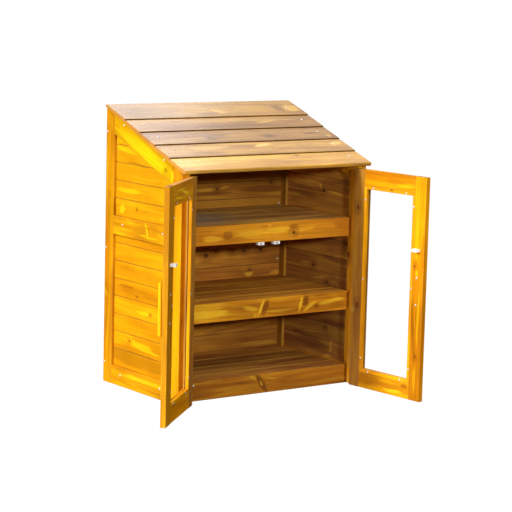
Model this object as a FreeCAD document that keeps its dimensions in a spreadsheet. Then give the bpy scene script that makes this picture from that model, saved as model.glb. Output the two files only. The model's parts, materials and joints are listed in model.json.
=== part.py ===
import FreeCAD, Part
import math
import os
import re
import Sketcher
from FreeCAD import Placement, Rotation, Vector

# Garden storage cabinet with a lean-to roof and two framed doors, in millimetres.
# +X is the cabinet's right, -Y its front and +Z up.
# The origin is on the ground, under the middle of the carcass.

# Driving sizes
SIZES = {
    # Carcass
    "cabinet_width": 800,
    "cabinet_depth": 496,
    "front_height": 812,
    "back_height": 1000,
    # Side frames and their grooved members
    "wall_thickness": 32,
    "stile_width": 55,
    "rail_width": 68,
    "groove_depth": 8,
    "eased_edge": 1.2,
    "panel_play": 0.3,
    # Tongued and grooved boards of the walls
    "cladding_thickness": 12,
    "cladding_cover": 64,
    "tongue_length": 5,
    "tongue_thickness": 4,
    "vee_depth": 2,
    # Back panel
    "batten_thickness": 11,
    "batten_width": 45,
    "back_ground_gap": 4,
    # Shelves, with the floor level with the bottom rails
    "lower_shelf_top": 342,
    "upper_shelf_top": 614,
    "fascia_setback": 37,
    "fascia_thickness": 18,
    "shelf_thickness": 14,
    "shelf_board_cover": 115,
    "shelf_board_gap": 1.2,
    "cleat_width": 25,
    "cleat_height": 28,
    "bearer_width": 30,
    # Roof, measured along its slope
    "roof_lap": 32.5,
    "roof_thickness": 14,
    "roof_step": 3,
    "roof_lip": 6,
    "roof_joint_gap": 2,
    "roof_nose": 3,
    "roof_front_overhang": 20,
    "roof_side_overhang": 5,
    "roof_batten_width": 40,
    "roof_batten_height": 26,
    "roof_batten_setback": 40,
    "roof_batten_clearance": 0.5,
    # Doors
    "door_thickness": 19,
    "door_stile_width": 52,
    "door_rail_width": 57,
    "door_lip_thickness": 6,
    "bead_width": 13,
    "door_tenon_length": 32,
    "door_tenon_thickness": 6,
    "door_tenon_shoulder": 10,
    "pane_thickness": 3,
    "pane_play": 1,
    "door_ground_gap": 3,
    "door_head_gap": 13,
    "meeting_gap": 3,
    "left_door_angle": 137.8,
    "right_door_angle": 94.4,
    # Hinges
    "hinge_gap": 2.2,
    "knuckle_radius": 3,
    "knuckle_gap": 0.3,
    "pin_radius": 1.5,
    "pin_clearance": 0.05,
    "pin_head_radius": 2.3,
    "pin_head_height": 1,
    "leaf_thickness": 1,
    "leaf_width": 18,
    "leaf_height": 64,
    "hinge_end_distance": 107,
    # Handles
    "handle_length": 180,
    "handle_width": 24,
    "handle_neck_width": 15,
    "handle_projection": 20,
    "handle_end_chamfer": 5,
    "handle_centre_height": 394,
    "handle_screw_spacing": 96,
    # Magnetic catches and the strikes on the doors
    "catch_width": 27,
    "catch_setback": 1,
    "catch_height": 11,
    "catch_depth": 16,
    "magnet_width": 9,
    "magnet_height": 7,
    "magnet_depth": 6,
    "strike_width": 24,
    "strike_height": 10,
    "strike_gap": 0.3,
    # Screws
    "screw_head_radius": 3.6,
    "screw_head_height": 1.5,
    "screw_edge_distance": 8,
    "wall_screw_inset": 62,
    "rear_screw_start": 74,
    "rear_screw_pitch": 419,
    "board_screw_start": 190,
    "board_screw_pitch": 214.5,
    "fascia_screw_x": -311,
    "fascia_screw_height": 56,
    "bead_screw_inset": 45.5,
    "rail_screw_inset": 40.5,
    "hinge_screw_radius": 2.4,
    "hinge_screw_play": 0.05,
}

doc = FreeCAD.newDocument("GardenCabinet")
sheet = doc.addObject("Spreadsheet::Sheet", "Sizes")
for row, (name, value) in enumerate(SIZES.items(), start=1):
    sheet.set(f"A{row}", name)
    sheet.set(f"B{row}", str(value))
    sheet.setAlias(f"B{row}", name)
doc.recompute()

ROOF_BOARDS = ["roof_board_front", "roof_board_second", "roof_board_middle",
               "roof_board_fourth", "roof_board_back"]

# Places that many pieces share, as formulas of the driving sizes
FRONT = "(-cabinet_depth/2)"
BACK = "(cabinet_depth/2)"
OUTER = "(cabinet_width/2)"
INNER = "(cabinet_width/2 - wall_thickness)"
WALL_MIDDLE = "(cabinet_width/2 - wall_thickness/2)"
STILE_BACK = f"({FRONT} + stile_width)"
REAR_STILE_FRONT = f"({BACK} - stile_width)"
RISE = "((back_height - front_height)/cabinet_depth)"
SLOPE_STRETCH = f"sqrt(1 + {RISE}*{RISE})"
MID_RAIL_BOTTOM = "(upper_shelf_top - rail_width)"
BOARD_BACK = f"({BACK} - batten_thickness)"
BOARD_FRONT = f"({BACK} - batten_thickness - cladding_thickness)"
FASCIA_FRONT = f"({FRONT} + fascia_setback)"
FASCIA_BACK = f"({FRONT} + fascia_setback + fascia_thickness)"
HINGE_EDGE = f"({INNER} - hinge_gap)"
FREE_EDGE = "(meeting_gap/2)"
DOOR_BACK = f"({FRONT} + door_thickness)"
DOOR_BOTTOM = "door_ground_gap"
DOOR_TOP = "(front_height - door_head_gap)"
STILE_LINE = f"({FREE_EDGE} + (door_stile_width + bead_width)/2)"
HINGE_AXIS = f"({INNER} - hinge_gap/2)"
HINGE_AXIS_Y = f"({FRONT} - knuckle_radius)"
LEAF_FRONT = f"({FRONT} + knuckle_gap)"
REBATE = f"({FRONT} + door_lip_thickness)"

ROOF_COVER = f"((cabinet_depth*{SLOPE_STRETCH} + roof_front_overhang - roof_lap)/{len(ROOF_BOARDS)})"

# The same places as numbers, for rotations and for counting boards
rise = (SIZES["back_height"] - SIZES["front_height"]) / SIZES["cabinet_depth"]
slope_angle = math.degrees(math.atan(rise))
roof_cover = SIZES["cabinet_depth"] * math.hypot(1, rise) + SIZES["roof_front_overhang"]
roof_cover = (roof_cover - SIZES["roof_lap"]) / len(ROOF_BOARDS)
HINGE_HEIGHTS = [
    "(door_ground_gap + hinge_end_distance)",
    "(front_height - door_head_gap - hinge_end_distance)",
]
SIDES = {"left": -1, "right": 1}
PLANE_DIRECTION = {"XY": 1, "XZ": -1, "YZ": 1}


def bound(formula):
    """Write a formula of driving sizes the way the document's expressions name them."""
    def cell(match):
        word = match.group()
        return f"Sizes.{word}" if word in SIZES else word
    return re.sub(r"[a-z_]{4,}", cell, str(formula))


def roof_line(y):
    """Height of the side walls' sloping top edge at a place along the depth."""
    return f"(front_height + {RISE}*({y} - {FRONT}))"


def add_outline(body, plane, points, start):
    """Draw a closed outline on a plane of the body, at a distance along the plane's axis."""
    sketch = body.newObject("Sketcher::SketchObject", f"{body.Name}_outline")
    origin_plane = [f for f in body.Origin.OriginFeatures if f.Role == f"{plane}_Plane"][0]
    sketch.AttachmentSupport = [(origin_plane, "")]
    sketch.MapMode = "FlatFace"
    count = len(points)
    rough = [Vector(9 * math.cos(2 * math.pi * i / count), 9 * math.sin(2 * math.pi * i / count), 0)
             for i in range(count)]
    for i in range(count):
        sketch.addGeometry(Part.LineSegment(rough[i], rough[(i + 1) % count]))
    for i in range(count):
        sketch.addConstraint(Sketcher.Constraint("Coincident", i, 2, (i + 1) % count, 1))
    for i, (across, up) in enumerate(points):
        for kind, formula, value in (("DistanceX", across, rough[i].x), ("DistanceY", up, rough[i].y)):
            index = sketch.addConstraint(Sketcher.Constraint(kind, -1, 1, i, 1, value))
            sketch.setExpression(f"Constraints[{index}]", bound(formula))
    sign = "-1*" if PLANE_DIRECTION[plane] < 0 else ""
    sketch.setExpression("AttachmentOffset.Base.z", bound(f"{sign}({start})"))
    return sketch


def add_feature(body, kind, plane, points, start, length):
    """Pad or pocket an outline from start, for length, towards the positive axis."""
    sketch = add_outline(body, plane, points, start)
    feature = body.newObject(f"PartDesign::{kind}", f"{body.Name}_{kind}")
    feature.Profile = sketch
    feature.setExpression("Length", bound(length))
    towards_normal = PLANE_DIRECTION[plane] > 0
    feature.Reversed = towards_normal if kind == "Pocket" else not towards_normal
    body.Tip = feature
    return feature


def prism(label, plane, points, start, length):
    """A piece with one outline and one thickness."""
    body = doc.addObject("PartDesign::Body", label)
    body.Label = label
    add_feature(body, "Pad", plane, points, start, length)
    return body


def eased(low_a, high_a, low_b, high_b):
    """A rectangle with its four corners eased, for a timber's long edges."""
    cut = "eased_edge"
    return [
        (f"{low_a} + {cut}", low_b), (f"{high_a} - {cut}", low_b),
        (high_a, f"{low_b} + {cut}"), (high_a, f"{high_b} - {cut}"),
        (f"{high_a} - {cut}", high_b), (f"{low_a} + {cut}", high_b),
        (low_a, f"{high_b} - {cut}"), (low_a, f"{low_b} + {cut}"),
    ]


def group(label, pieces):
    """Separate solids that share one node."""
    compound = doc.addObject("Part::Compound", label)
    compound.Label = label
    compound.Links = pieces
    return compound


def slope_placement():
    """The roof's own frame: Y runs up the slope from the front wall, Z stands square to it."""
    base = Vector(0, -SIZES["cabinet_depth"] / 2, SIZES["front_height"])
    return Placement(base, Rotation(Vector(1, 0, 0), slope_angle))


def boards_needed(height, cover):
    """How many boards of one cover fill a height."""
    return max(1, math.ceil(height / cover - 0.01))


def board_section(low_face, bottom, top, grooved, tongued):
    """Section of a tongued and grooved board, as thickness against height."""
    high_face = f"({low_face} + cladding_thickness)"
    middle = f"({low_face} + cladding_thickness/2)"
    half_groove = "(tongue_thickness/2 + panel_play)"
    half_tongue = "(tongue_thickness/2)"
    vee = "vee_depth"
    points = [(low_face, f"{bottom} + {vee}"), (f"{low_face} + {vee}", bottom)]
    if grooved:
        roof = f"{bottom} + tongue_length + panel_play"
        points += [(f"{middle} - {half_groove}", bottom), (f"{middle} - {half_groove}", roof),
                   (f"{middle} + {half_groove}", roof), (f"{middle} + {half_groove}", bottom)]
    points += [(f"{high_face} - {vee}", bottom), (high_face, f"{bottom} + {vee}"),
               (high_face, f"{top} - {vee}"), (f"{high_face} - {vee}", top)]
    if tongued:
        tip = f"{top} + tongue_length"
        points += [(f"{middle} + {half_tongue}", top), (f"{middle} + {half_tongue}", tip),
                   (f"{middle} - {half_tongue}", tip), (f"{middle} - {half_tongue}", top)]
    points += [(f"{low_face} + {vee}", top), (low_face, f"{top} - {vee}")]
    return points


def board_stack(count, first_bottom, seat_bottom, last_top):
    """Bottom, top and joints of each board: the first and last have plain outer edges."""
    for i in range(count):
        bottom = seat_bottom if i == 0 else f"({first_bottom} + {i}*cladding_cover)"
        top = last_top if i == count - 1 else f"({first_bottom} + {i + 1}*cladding_cover)"
        yield i, bottom, top, i > 0, i < count - 1


def x_span(side, low, high):
    """Start and length of a stretch along X, for distances counted outwards from the middle."""
    start = f"(-({high}))" if side < 0 else f"({low})"
    return start, f"(({high}) - ({low}))"


def make_side_frame(name, side):
    """Two grooved stiles and three grooved rails, with stub tenons in the stiles' grooves."""
    face, thickness = x_span(side, INNER, OUTER)
    wall_end = f"({face} + wall_thickness)"
    slot_low = f"({face} + (wall_thickness - cladding_thickness)/2 - panel_play)"
    slot_high = f"({face} + (wall_thickness + cladding_thickness)/2 + panel_play)"
    ease = "eased_edge"
    tall = "(back_height + wall_thickness)"

    def stile(label, free_edge, grooved_edge, turn):
        floor = f"{grooved_edge} - {turn}*groove_depth"
        outline = [
            (f"{face} + {ease}", free_edge), (f"{wall_end} - {ease}", free_edge),
            (wall_end, f"{free_edge} + {turn}*{ease}"), (wall_end, f"{grooved_edge} - {turn}*{ease}"),
            (f"{wall_end} - {ease}", grooved_edge), (slot_high, grooved_edge),
            (slot_high, floor), (slot_low, floor),
            (slot_low, grooved_edge), (f"{face} + {ease}", grooved_edge),
            (face, f"{grooved_edge} - {turn}*{ease}"), (face, f"{free_edge} + {turn}*{ease}"),
        ]
        body = prism(label, "XY", outline, "0", tall)
        ahead, behind = f"({FRONT} - wall_thickness)", f"({BACK} + wall_thickness)"
        above = f"({tall} + wall_thickness)"
        wedge = [(ahead, roof_line(ahead)), (behind, roof_line(behind)), (behind, above), (ahead, above)]
        add_feature(body, "Pocket", "YZ", wedge, f"({face} - 1)", f"{thickness} + 2")

    stile(f"{name}_front_stile", FRONT, STILE_BACK, 1)
    stile(f"{name}_back_stile", BACK, REAR_STILE_FRONT, -1)

    def rail(label, bottom, top, groove_below):
        outline = [(f"{face} + {ease}", bottom)]
        if groove_below:
            outline += [(slot_low, bottom), (slot_low, f"{bottom} + groove_depth"),
                        (slot_high, f"{bottom} + groove_depth"), (slot_high, bottom)]
        outline += [(f"{wall_end} - {ease}", bottom), (wall_end, f"{bottom} + {ease}"),
                    (wall_end, f"{top} - {ease}"), (f"{wall_end} - {ease}", top),
                    (slot_high, top), (slot_high, f"{top} - groove_depth"),
                    (slot_low, f"{top} - groove_depth"), (slot_low, top),
                    (f"{face} + {ease}", top), (face, f"{top} - {ease}"), (face, f"{bottom} + {ease}")]
        body = prism(label, "XZ", outline, STILE_BACK, f"{REAR_STILE_FRONT} - {STILE_BACK}")
        low = f"({bottom} + groove_depth)" if groove_below else bottom
        high = f"({top} - groove_depth)"
        tenon = [(f"{slot_low} + panel_play", low), (f"{slot_high} - panel_play", low),
                 (f"{slot_high} - panel_play", high), (f"{slot_low} + panel_play", high)]
        reach = "(groove_depth - panel_play)"
        add_feature(body, "Pad", "XZ", tenon, f"({STILE_BACK} - {reach})",
                    f"{REAR_STILE_FRONT} - {STILE_BACK} + 2*{reach}")

    rail(f"{name}_bottom_rail", "0", "rail_width", False)
    rail(f"{name}_middle_rail", MID_RAIL_BOTTOM, "upper_shelf_top", True)
    make_sloping_rail(name, face, slot_low)


def make_sloping_rail(name, face, slot_low):
    """The top rail runs up under the roof, grooved below for the boards' raking ends."""
    drop = f"(rail_width*{SLOPE_STRETCH})"
    floor = f"((rail_width - groove_depth)*{SLOPE_STRETCH})"
    reach = "(groove_depth - panel_play)"

    def strip(front, back, upper, lower):
        return [(front, f"{roof_line(front)} - {lower}"), (back, f"{roof_line(back)} - {lower}"),
                (back, f"{roof_line(back)} - {upper}"), (front, f"{roof_line(front)} - {upper}")]

    body = prism(f"{name}_top_rail", "YZ", strip(STILE_BACK, REAR_STILE_FRONT, "0", drop),
                 face, "wall_thickness")
    add_feature(body, "Pocket", "YZ", strip(STILE_BACK, REAR_STILE_FRONT, floor, f"({drop} + 1)"),
                slot_low, "cladding_thickness + 2*panel_play")
    ends = strip(f"({STILE_BACK} - {reach})", f"({REAR_STILE_FRONT} + {reach})", "0", floor)
    add_feature(body, "Pad", "YZ", ends, f"({slot_low} + panel_play)", "cladding_thickness")


def make_side_boards(name, side):
    """Boards lie in the frame's grooves: a rectangular lower panel and a raking upper one."""
    low_face = f"({side}*{WALL_MIDDLE} - cladding_thickness/2)"
    reach = "(groove_depth - panel_play)"
    start = f"({STILE_BACK} - {reach})"
    length = f"({REAR_STILE_FRONT} - {STILE_BACK} + 2*{reach})"

    def stack(tag, height, base, top):
        count = boards_needed(height, SIZES["cladding_cover"])
        boards = []
        for i, bottom, upper, grooved, tongued in board_stack(
                count, base, f"({base} - groove_depth)", top):
            section = board_section(low_face, bottom, upper, grooved, tongued)
            boards.append(prism(f"{name}_{tag}_board_{i + 1}", "XZ", section, start, length))
        return boards

    height = SIZES["upper_shelf_top"] - 2 * SIZES["rail_width"]
    group(f"{name}_lower_boards", stack("lower", height, "rail_width", f"({MID_RAIL_BOTTOM} + {reach})"))

    height = SIZES["back_height"] - SIZES["stile_width"] * rise - SIZES["upper_shelf_top"]
    height -= SIZES["rail_width"] * math.hypot(1, rise)
    uncut = group(f"{name}_uncut_boards", stack("upper", height, "upper_shelf_top", "back_height"))
    front, back = f"({STILE_BACK} - groove_depth)", f"({REAR_STILE_FRONT} + groove_depth)"
    drop = f"((rail_width - {reach})*{SLOPE_STRETCH})"
    below_rail = [(front, MID_RAIL_BOTTOM), (back, MID_RAIL_BOTTOM),
                  (back, f"{roof_line(back)} - {drop}"), (front, f"{roof_line(front)} - {drop}")]
    region = prism(f"{name}_raking_region", "YZ", below_rail, f"({low_face} - 1)",
                   "cladding_thickness + 2")
    trimmed = doc.addObject("Part::Common", f"{name}_upper_boards")
    trimmed.Label = f"{name}_upper_boards"
    trimmed.Base = uncut
    trimmed.Tool = region


def make_back():
    """Two battens stand between the side walls and carry the back boards."""
    top = f"({roof_line(BOARD_FRONT)} - panel_play)"
    battens = []
    for name, side in SIDES.items():
        low, width = x_span(side, f"{INNER} - batten_width", INNER)
        battens.append(prism(f"{name}_back_batten", "XY", eased(low, f"({low} + {width})", BOARD_BACK, BACK),
                             "back_ground_gap", f"{top} - back_ground_gap"))
    group("back_battens", battens)

    filled = SIZES["back_height"] - SIZES["back_ground_gap"]
    filled -= rise * (SIZES["batten_thickness"] + SIZES["cladding_thickness"])
    count = boards_needed(filled, SIZES["cladding_cover"])
    boards = []
    for i, bottom, upper, grooved, tongued in board_stack(
            count, "back_ground_gap", "back_ground_gap", top):
        section = board_section(BOARD_FRONT, bottom, upper, grooved, tongued)
        boards.append(prism(f"back_board_{i + 1}", "YZ", section, f"(-{INNER})", f"2*{INNER}"))
    group("back_boards", boards)


def make_shelf(name, top):
    """A fascia in front, boards behind it and two cleats that carry them."""
    underside = f"({top} - shelf_thickness)"
    prism(f"{name}_fascia", "YZ", eased(FASCIA_FRONT, FASCIA_BACK, f"({top} - rail_width)", top),
          f"(-{INNER})", f"2*{INNER}")

    depth = SIZES["cabinet_depth"] - SIZES["batten_thickness"] - SIZES["cladding_thickness"]
    depth -= SIZES["fascia_setback"] + SIZES["fascia_thickness"]
    count = boards_needed(depth, SIZES["shelf_board_cover"])
    boards = []
    for i in range(count):
        back = f"({BOARD_FRONT} - {i}*shelf_board_cover)"
        front = FASCIA_BACK if i == count - 1 else f"({back} - shelf_board_cover + shelf_board_gap)"
        boards.append(prism(f"{name}_board_{i + 1}", "YZ", eased(front, back, underside, top),
                            f"(-{INNER} + panel_play)", f"2*({INNER} - panel_play)"))
    group(f"{name}_boards", boards)

    cleats = []
    for side_name, side in SIDES.items():
        low, width = x_span(side, f"{INNER} - cleat_width", INNER)
        outline = eased(low, f"({low} + {width})", f"({underside} - cleat_height)", underside)
        cleats.append(prism(f"{name}_cleat_{side_name}", "XZ", outline, FASCIA_BACK,
                            f"{BOARD_FRONT} - {FASCIA_BACK}"))
    group(f"{name}_cleats", cleats)


def make_floor_bearer():
    """A bearer under the middle of the floor stands on the ground."""
    outline = eased("(-bearer_width/2)", "(bearer_width/2)", "0", "(rail_width - shelf_thickness)")
    prism("floor_bearer", "XZ", outline, FASCIA_BACK, f"{BOARD_FRONT} - {FASCIA_BACK}")


def roof_board_section(lowest, highest):
    """Section along the slope: the underside laps the board in front, a rebate takes the next."""
    width = f"({ROOF_COVER} + roof_lap)"
    rebate = f"({ROOF_COVER} - roof_joint_gap)"
    crown = "(roof_thickness - roof_step)"
    ease = "eased_edge"
    if lowest:
        brow = f"(roof_thickness - roof_step*(roof_nose - {ease})/({rebate} - 2*{ease}))"
        points = [("roof_nose", "0"), ("0", "roof_nose"), ("0", f"{brow} - roof_nose"),
                  ("roof_nose", brow)]
    else:
        points = [("roof_lap + panel_play", "0"), ("roof_lap + panel_play", "roof_lip"),
                  ("0", "roof_lip"), ("0", f"roof_thickness - {ease}"), (ease, "roof_thickness")]
    if highest:
        end = f"(roof_thickness - roof_step*({width} - 2*{ease})/({rebate} - 2*{ease}))"
        points += [(f"{width} - {ease}", end), (width, f"{end} - {ease}"), (width, "0")]
    else:
        points += [(f"{rebate} - {ease}", crown), (rebate, f"{crown} - {ease}"),
                   (rebate, "roof_lip"), (width, "roof_lip"), (width, "0")]
    return points


def make_roof():
    """Five lapped boards on the sloping walls, screwed to a batten inside each wall."""
    last = len(ROOF_BOARDS) - 1
    for i, label in enumerate(ROOF_BOARDS):
        section = [(f"({along}) - roof_front_overhang + {i}*{ROOF_COVER}", up)
                   for along, up in roof_board_section(i == 0, i == last)]
        body = prism(label, "YZ", section, f"(-{OUTER} - roof_side_overhang)",
                     f"2*({OUTER} + roof_side_overhang)")
        body.Placement = slope_placement()
    battens = []
    reach = f"(({BOARD_FRONT} - {FRONT})*{SLOPE_STRETCH} - roof_batten_height*{RISE})"
    length = f"{reach} - roof_batten_clearance - roof_batten_setback"
    for name, side in SIDES.items():
        low, width = x_span(side, f"{INNER} - roof_batten_width", INNER)
        outline = eased(low, f"({low} + {width})", "(-roof_batten_height)", "0")
        batten = prism(f"{name}_roof_batten", "XZ", outline, "roof_batten_setback", length)
        batten.Placement = slope_placement()
        battens.append(batten)
    group("roof_battens", battens)


def make_catches():
    """A magnetic catch under the upper fascia for each door, with its magnet in a recess."""
    front = f"({FASCIA_FRONT} + catch_setback)"
    bottom = f"({MID_RAIL_BOTTOM} - catch_height)"
    middle = f"({MID_RAIL_BOTTOM} - catch_height/2)"
    cases, magnets = [], []
    for name, side in SIDES.items():
        low, width = x_span(side, f"{STILE_LINE} - catch_width/2", f"{STILE_LINE} + catch_width/2")
        case = prism(f"{name}_catch_case", "XZ",
                     eased(low, f"({low} + {width})", bottom, MID_RAIL_BOTTOM), front, "catch_depth")
        centre = f"({side}*{STILE_LINE})"
        recess = [(f"{centre} - magnet_width/2", f"{middle} - magnet_height/2"),
                  (f"{centre} + magnet_width/2", f"{middle} - magnet_height/2"),
                  (f"{centre} + magnet_width/2", f"{middle} + magnet_height/2"),
                  (f"{centre} - magnet_width/2", f"{middle} + magnet_height/2")]
        add_feature(case, "Pocket", "XZ", recess, f"({front} - 1)", "magnet_depth + 1")
        cases.append(case)
        magnets.append(prism(f"{name}_catch_magnet", "XZ", recess, front, "magnet_depth"))
    group("catch_cases", cases)
    group("catch_magnets", magnets)


def door_placement(side):
    """A door's pieces are drawn shut and turned about the hinge pins to the rest position."""
    angle = SIZES["left_door_angle"] if side < 0 else SIZES["right_door_angle"]
    reach = SIZES["cabinet_width"] / 2 - SIZES["wall_thickness"] - SIZES["hinge_gap"] / 2
    axis = Vector(side * reach, -SIZES["cabinet_depth"] / 2 - SIZES["knuckle_radius"], 0)
    return Placement(Vector(0, 0, 0), Rotation(Vector(0, 0, 1), side * angle), axis)


def make_door(name, side):
    """A rebated and tenoned frame holds a clear pane behind mitred beads."""
    pane_back = f"({REBATE} + pane_thickness)"
    pieces = make_door_frame(name, side)
    start, width = x_span(side, f"{FREE_EDGE} + door_stile_width + pane_play",
                          f"{HINGE_EDGE} - door_stile_width - pane_play")
    bottom = f"({DOOR_BOTTOM} + door_rail_width + pane_play)"
    top = f"({DOOR_TOP} - door_rail_width - pane_play)"
    outline = [(REBATE, bottom), (pane_back, bottom), (pane_back, top), (REBATE, top)]
    pieces.append(prism(f"{name}_door_pane", "YZ", outline, start, width))
    pieces.append(make_beads(name, side, pane_back))
    pieces.append(make_handle(name, side))
    pieces.append(make_strike(name, side))
    pieces.append(make_hinge_leaves(name, side, moving=True))
    pieces.append(make_door_screws(name, side))
    for piece in pieces:
        piece.Placement = door_placement(side)


def make_door_frame(name, side):
    """Stiles run the full height; the rails' tenons enter mortises in the stiles' inner edges."""
    ease = "eased_edge"
    tenon_front = f"({REBATE} + (door_thickness - door_lip_thickness - door_tenon_thickness)/2)"
    tenon_back = f"({tenon_front} + door_tenon_thickness)"
    rails = {"bottom": (DOOR_BOTTOM, 1), "top": (DOOR_TOP, -1)}

    def tenon_outline(edge, inward, play):
        outer = f"({edge} + {inward}*(door_tenon_shoulder - {play}))"
        inner = f"({edge} + {inward}*(door_rail_width - door_tenon_shoulder + {play}))"
        return [(tenon_front, outer), (tenon_back, outer), (tenon_back, inner), (tenon_front, inner)]

    def stile(label, edge, inward):
        wide = f"{edge} + {inward}*(door_stile_width + bead_width)"
        narrow = f"{edge} + {inward}*door_stile_width"
        outline = [(f"{edge} + {inward}*{ease}", FRONT), (wide, FRONT), (wide, REBATE),
                   (narrow, REBATE), (narrow, DOOR_BACK), (f"{edge} + {inward}*{ease}", DOOR_BACK),
                   (edge, f"{DOOR_BACK} - {ease}"), (edge, f"{FRONT} + {ease}")]
        outline = [(f"{side}*({x})", y) for x, y in outline]
        body = prism(label, "XY", outline, DOOR_BOTTOM, f"{DOOR_TOP} - {DOOR_BOTTOM}")
        depth = f"{edge} + {inward}*(door_stile_width - door_tenon_length - pane_play)"
        start, length = x_span(side, *((narrow, depth) if inward < 0 else (depth, narrow)))
        for rail_edge, rail_inward in rails.values():
            add_feature(body, "Pocket", "YZ", tenon_outline(rail_edge, rail_inward, "0"), start, length)
        return body

    def rail(label, edge, inward):
        narrow = f"({edge} + {inward}*door_rail_width)"
        wide = f"({edge} + {inward}*(door_rail_width + bead_width))"
        back_part = [(REBATE, edge), (f"{DOOR_BACK} - {ease}", edge),
                     (DOOR_BACK, f"{edge} + {inward}*{ease}"), (DOOR_BACK, narrow), (REBATE, narrow)]
        lip = [(f"{FRONT} + {ease}", edge), (REBATE, edge), (REBATE, wide), (FRONT, wide),
               (FRONT, f"{edge} + {inward}*{ease}")]
        parts = ((back_part, "door_stile_width"), (lip, "(door_stile_width + bead_width)"),
                 (tenon_outline(edge, inward, "0"), "(door_stile_width - door_tenon_length)"))
        body = doc.addObject("PartDesign::Body", label)
        body.Label = label
        for outline, inset in parts:
            start, length = x_span(side, f"{FREE_EDGE} + {inset}", f"{HINGE_EDGE} - {inset}")
            add_feature(body, "Pad", "YZ", outline, start, length)
        return body

    pieces = [stile(f"{name}_door_hinge_stile", HINGE_EDGE, -1),
              stile(f"{name}_door_meeting_stile", FREE_EDGE, 1)]
    for place, (edge, inward) in rails.items():
        pieces.append(rail(f"{name}_door_{place}_rail", edge, inward))
    return pieces


def make_beads(name, side, seat):
    """Four beads with mitred corners hold the pane in its rebate."""
    low_x, high_x = f"{FREE_EDGE} + door_stile_width", f"{HINGE_EDGE} - door_stile_width"
    low_z, high_z = f"{DOOR_BOTTOM} + door_rail_width", f"{DOOR_TOP} - door_rail_width"

    def corner(x_side, z_side, inset):
        x = f"{low_x} + {inset}" if x_side < 0 else f"{high_x} - {inset}"
        z = f"{low_z} + {inset}" if z_side < 0 else f"{high_z} - {inset}"
        return f"{side}*({x})", z

    edges = {"meeting": ((-1, -1), (-1, 1)), "hinge": ((1, -1), (1, 1)),
             "bottom": ((-1, -1), (1, -1)), "top": ((-1, 1), (1, 1))}
    beads = []
    for label, (first, second) in edges.items():
        outline = [corner(*first, "0"), corner(*first, "bead_width"),
                   corner(*second, "bead_width"), corner(*second, "0")]
        beads.append(prism(f"{name}_{label}_bead", "XZ", outline, seat, f"{DOOR_BACK} - {seat}"))
    return group(f"{name}_door_beads", beads)


def make_handle(name, side):
    """A wooden bar with a finger groove along both sides, on the meeting stile's outer face."""
    half, neck = "handle_width/2", "handle_neck_width/2"
    depth, ease = "handle_projection", "3*eased_edge"
    shoulder = "(handle_projection/4 + (handle_width - handle_neck_width)/2)"
    side_profile = [(neck, "0"), (neck, f"{depth}/4"), (half, shoulder),
                    (half, f"{depth} - {ease}"), (f"{half} - {ease}", depth)]
    profile = [(f"({x})", y) for x, y in side_profile]
    profile += [(f"-({x})", y) for x, y in reversed(side_profile)]
    outline = [(f"{side}*({STILE_LINE} + {x})", f"{FRONT} - ({y})") for x, y in profile]
    bottom = "(handle_centre_height - handle_length/2)"
    body = prism(f"{name}_door_handle", "XY", outline, bottom, "handle_length")
    nose = f"({FRONT} - handle_projection)"
    start, length = x_span(side, f"{STILE_LINE} - handle_width", f"{STILE_LINE} + handle_width")
    for end, inward in ((bottom, 1), (f"({bottom} + handle_length)", -1)):
        corner = [(f"{nose} - 1", f"{end} - {inward}"),
                  (f"{nose} + handle_end_chamfer", f"{end} - {inward}"),
                  (f"{nose} + handle_end_chamfer", end),
                  (f"{nose} - 1", f"{end} + {inward}*(handle_end_chamfer + 1)")]
        add_feature(body, "Pocket", "YZ", corner, start, length)
    return body


def make_strike(name, side):
    """A white block on the door's inner face that meets the catch."""
    low, high = f"{STILE_LINE} - strike_width/2", f"{STILE_LINE} + strike_width/2"
    tip = f"({FASCIA_FRONT} + catch_setback - strike_gap)"
    ease = "eased_edge"
    outline = [(low, DOOR_BACK), (high, DOOR_BACK), (high, f"{tip} - {ease}"),
               (f"{high} - {ease}", tip), (f"{low} + {ease}", tip), (low, f"{tip} - {ease}")]
    outline = [(f"{side}*({x})", y) for x, y in outline]
    bottom = f"({MID_RAIL_BOTTOM} - catch_height/2 - strike_height/2)"
    return prism(f"{name}_door_strike", "XY", outline, bottom, "strike_height")


def cylinder(label, x, y, z, radius, length):
    """An upright cylinder standing on its base."""
    solid = doc.addObject("Part::Cylinder", label)
    solid.setExpression("Radius", bound(radius))
    solid.setExpression("Height", bound(length))
    for axis, formula in (("x", x), ("y", y), ("z", z)):
        solid.setExpression(f"Placement.Base.{axis}", bound(formula))
    return solid


def button(label, place, direction, radius, height):
    """A small twelve-sided disc that stands on a surface and faces a direction."""
    solid = doc.addObject("Part::Prism", label)
    solid.Polygon = 12
    solid.setExpression("Circumradius", bound(radius))
    solid.setExpression("Height", bound(height))
    solid.Placement = Placement(Vector(0, 0, 0), Rotation(Vector(0, 0, 1), Vector(*direction)))
    for axis, formula in zip("xyz", place):
        solid.setExpression(f"Placement.Base.{axis}", bound(formula))
    return solid


def screw_head(label, place, direction):
    """The head of a screw whose shank is inside the wood."""
    return button(label, place, direction, "screw_head_radius", "screw_head_height")


def hinge_screws(tag, side, moving, play):
    """Three flush heads in each leaf, on a zigzag; play widens them into the leaf's holes."""
    face = f"({side}*({HINGE_EDGE} + leaf_thickness))" if moving else f"({side}*({INNER} - leaf_thickness))"
    direction = (-side, 0, 0) if moving else (side, 0, 0)
    heads = []
    for i, centre in enumerate(HINGE_HEIGHTS):
        middle = f"{LEAF_FRONT} + leaf_width/2"
        for k, shift in enumerate((-1, 1, -1)):
            place = (face, f"{middle} + {shift}*leaf_width/6", f"{centre} + {k - 1}*leaf_height/3")
            heads.append(button(f"{tag}_{i + 1}_{k + 1}", place, direction,
                                f"hinge_screw_radius + {play}", "leaf_thickness"))
    return heads


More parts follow.
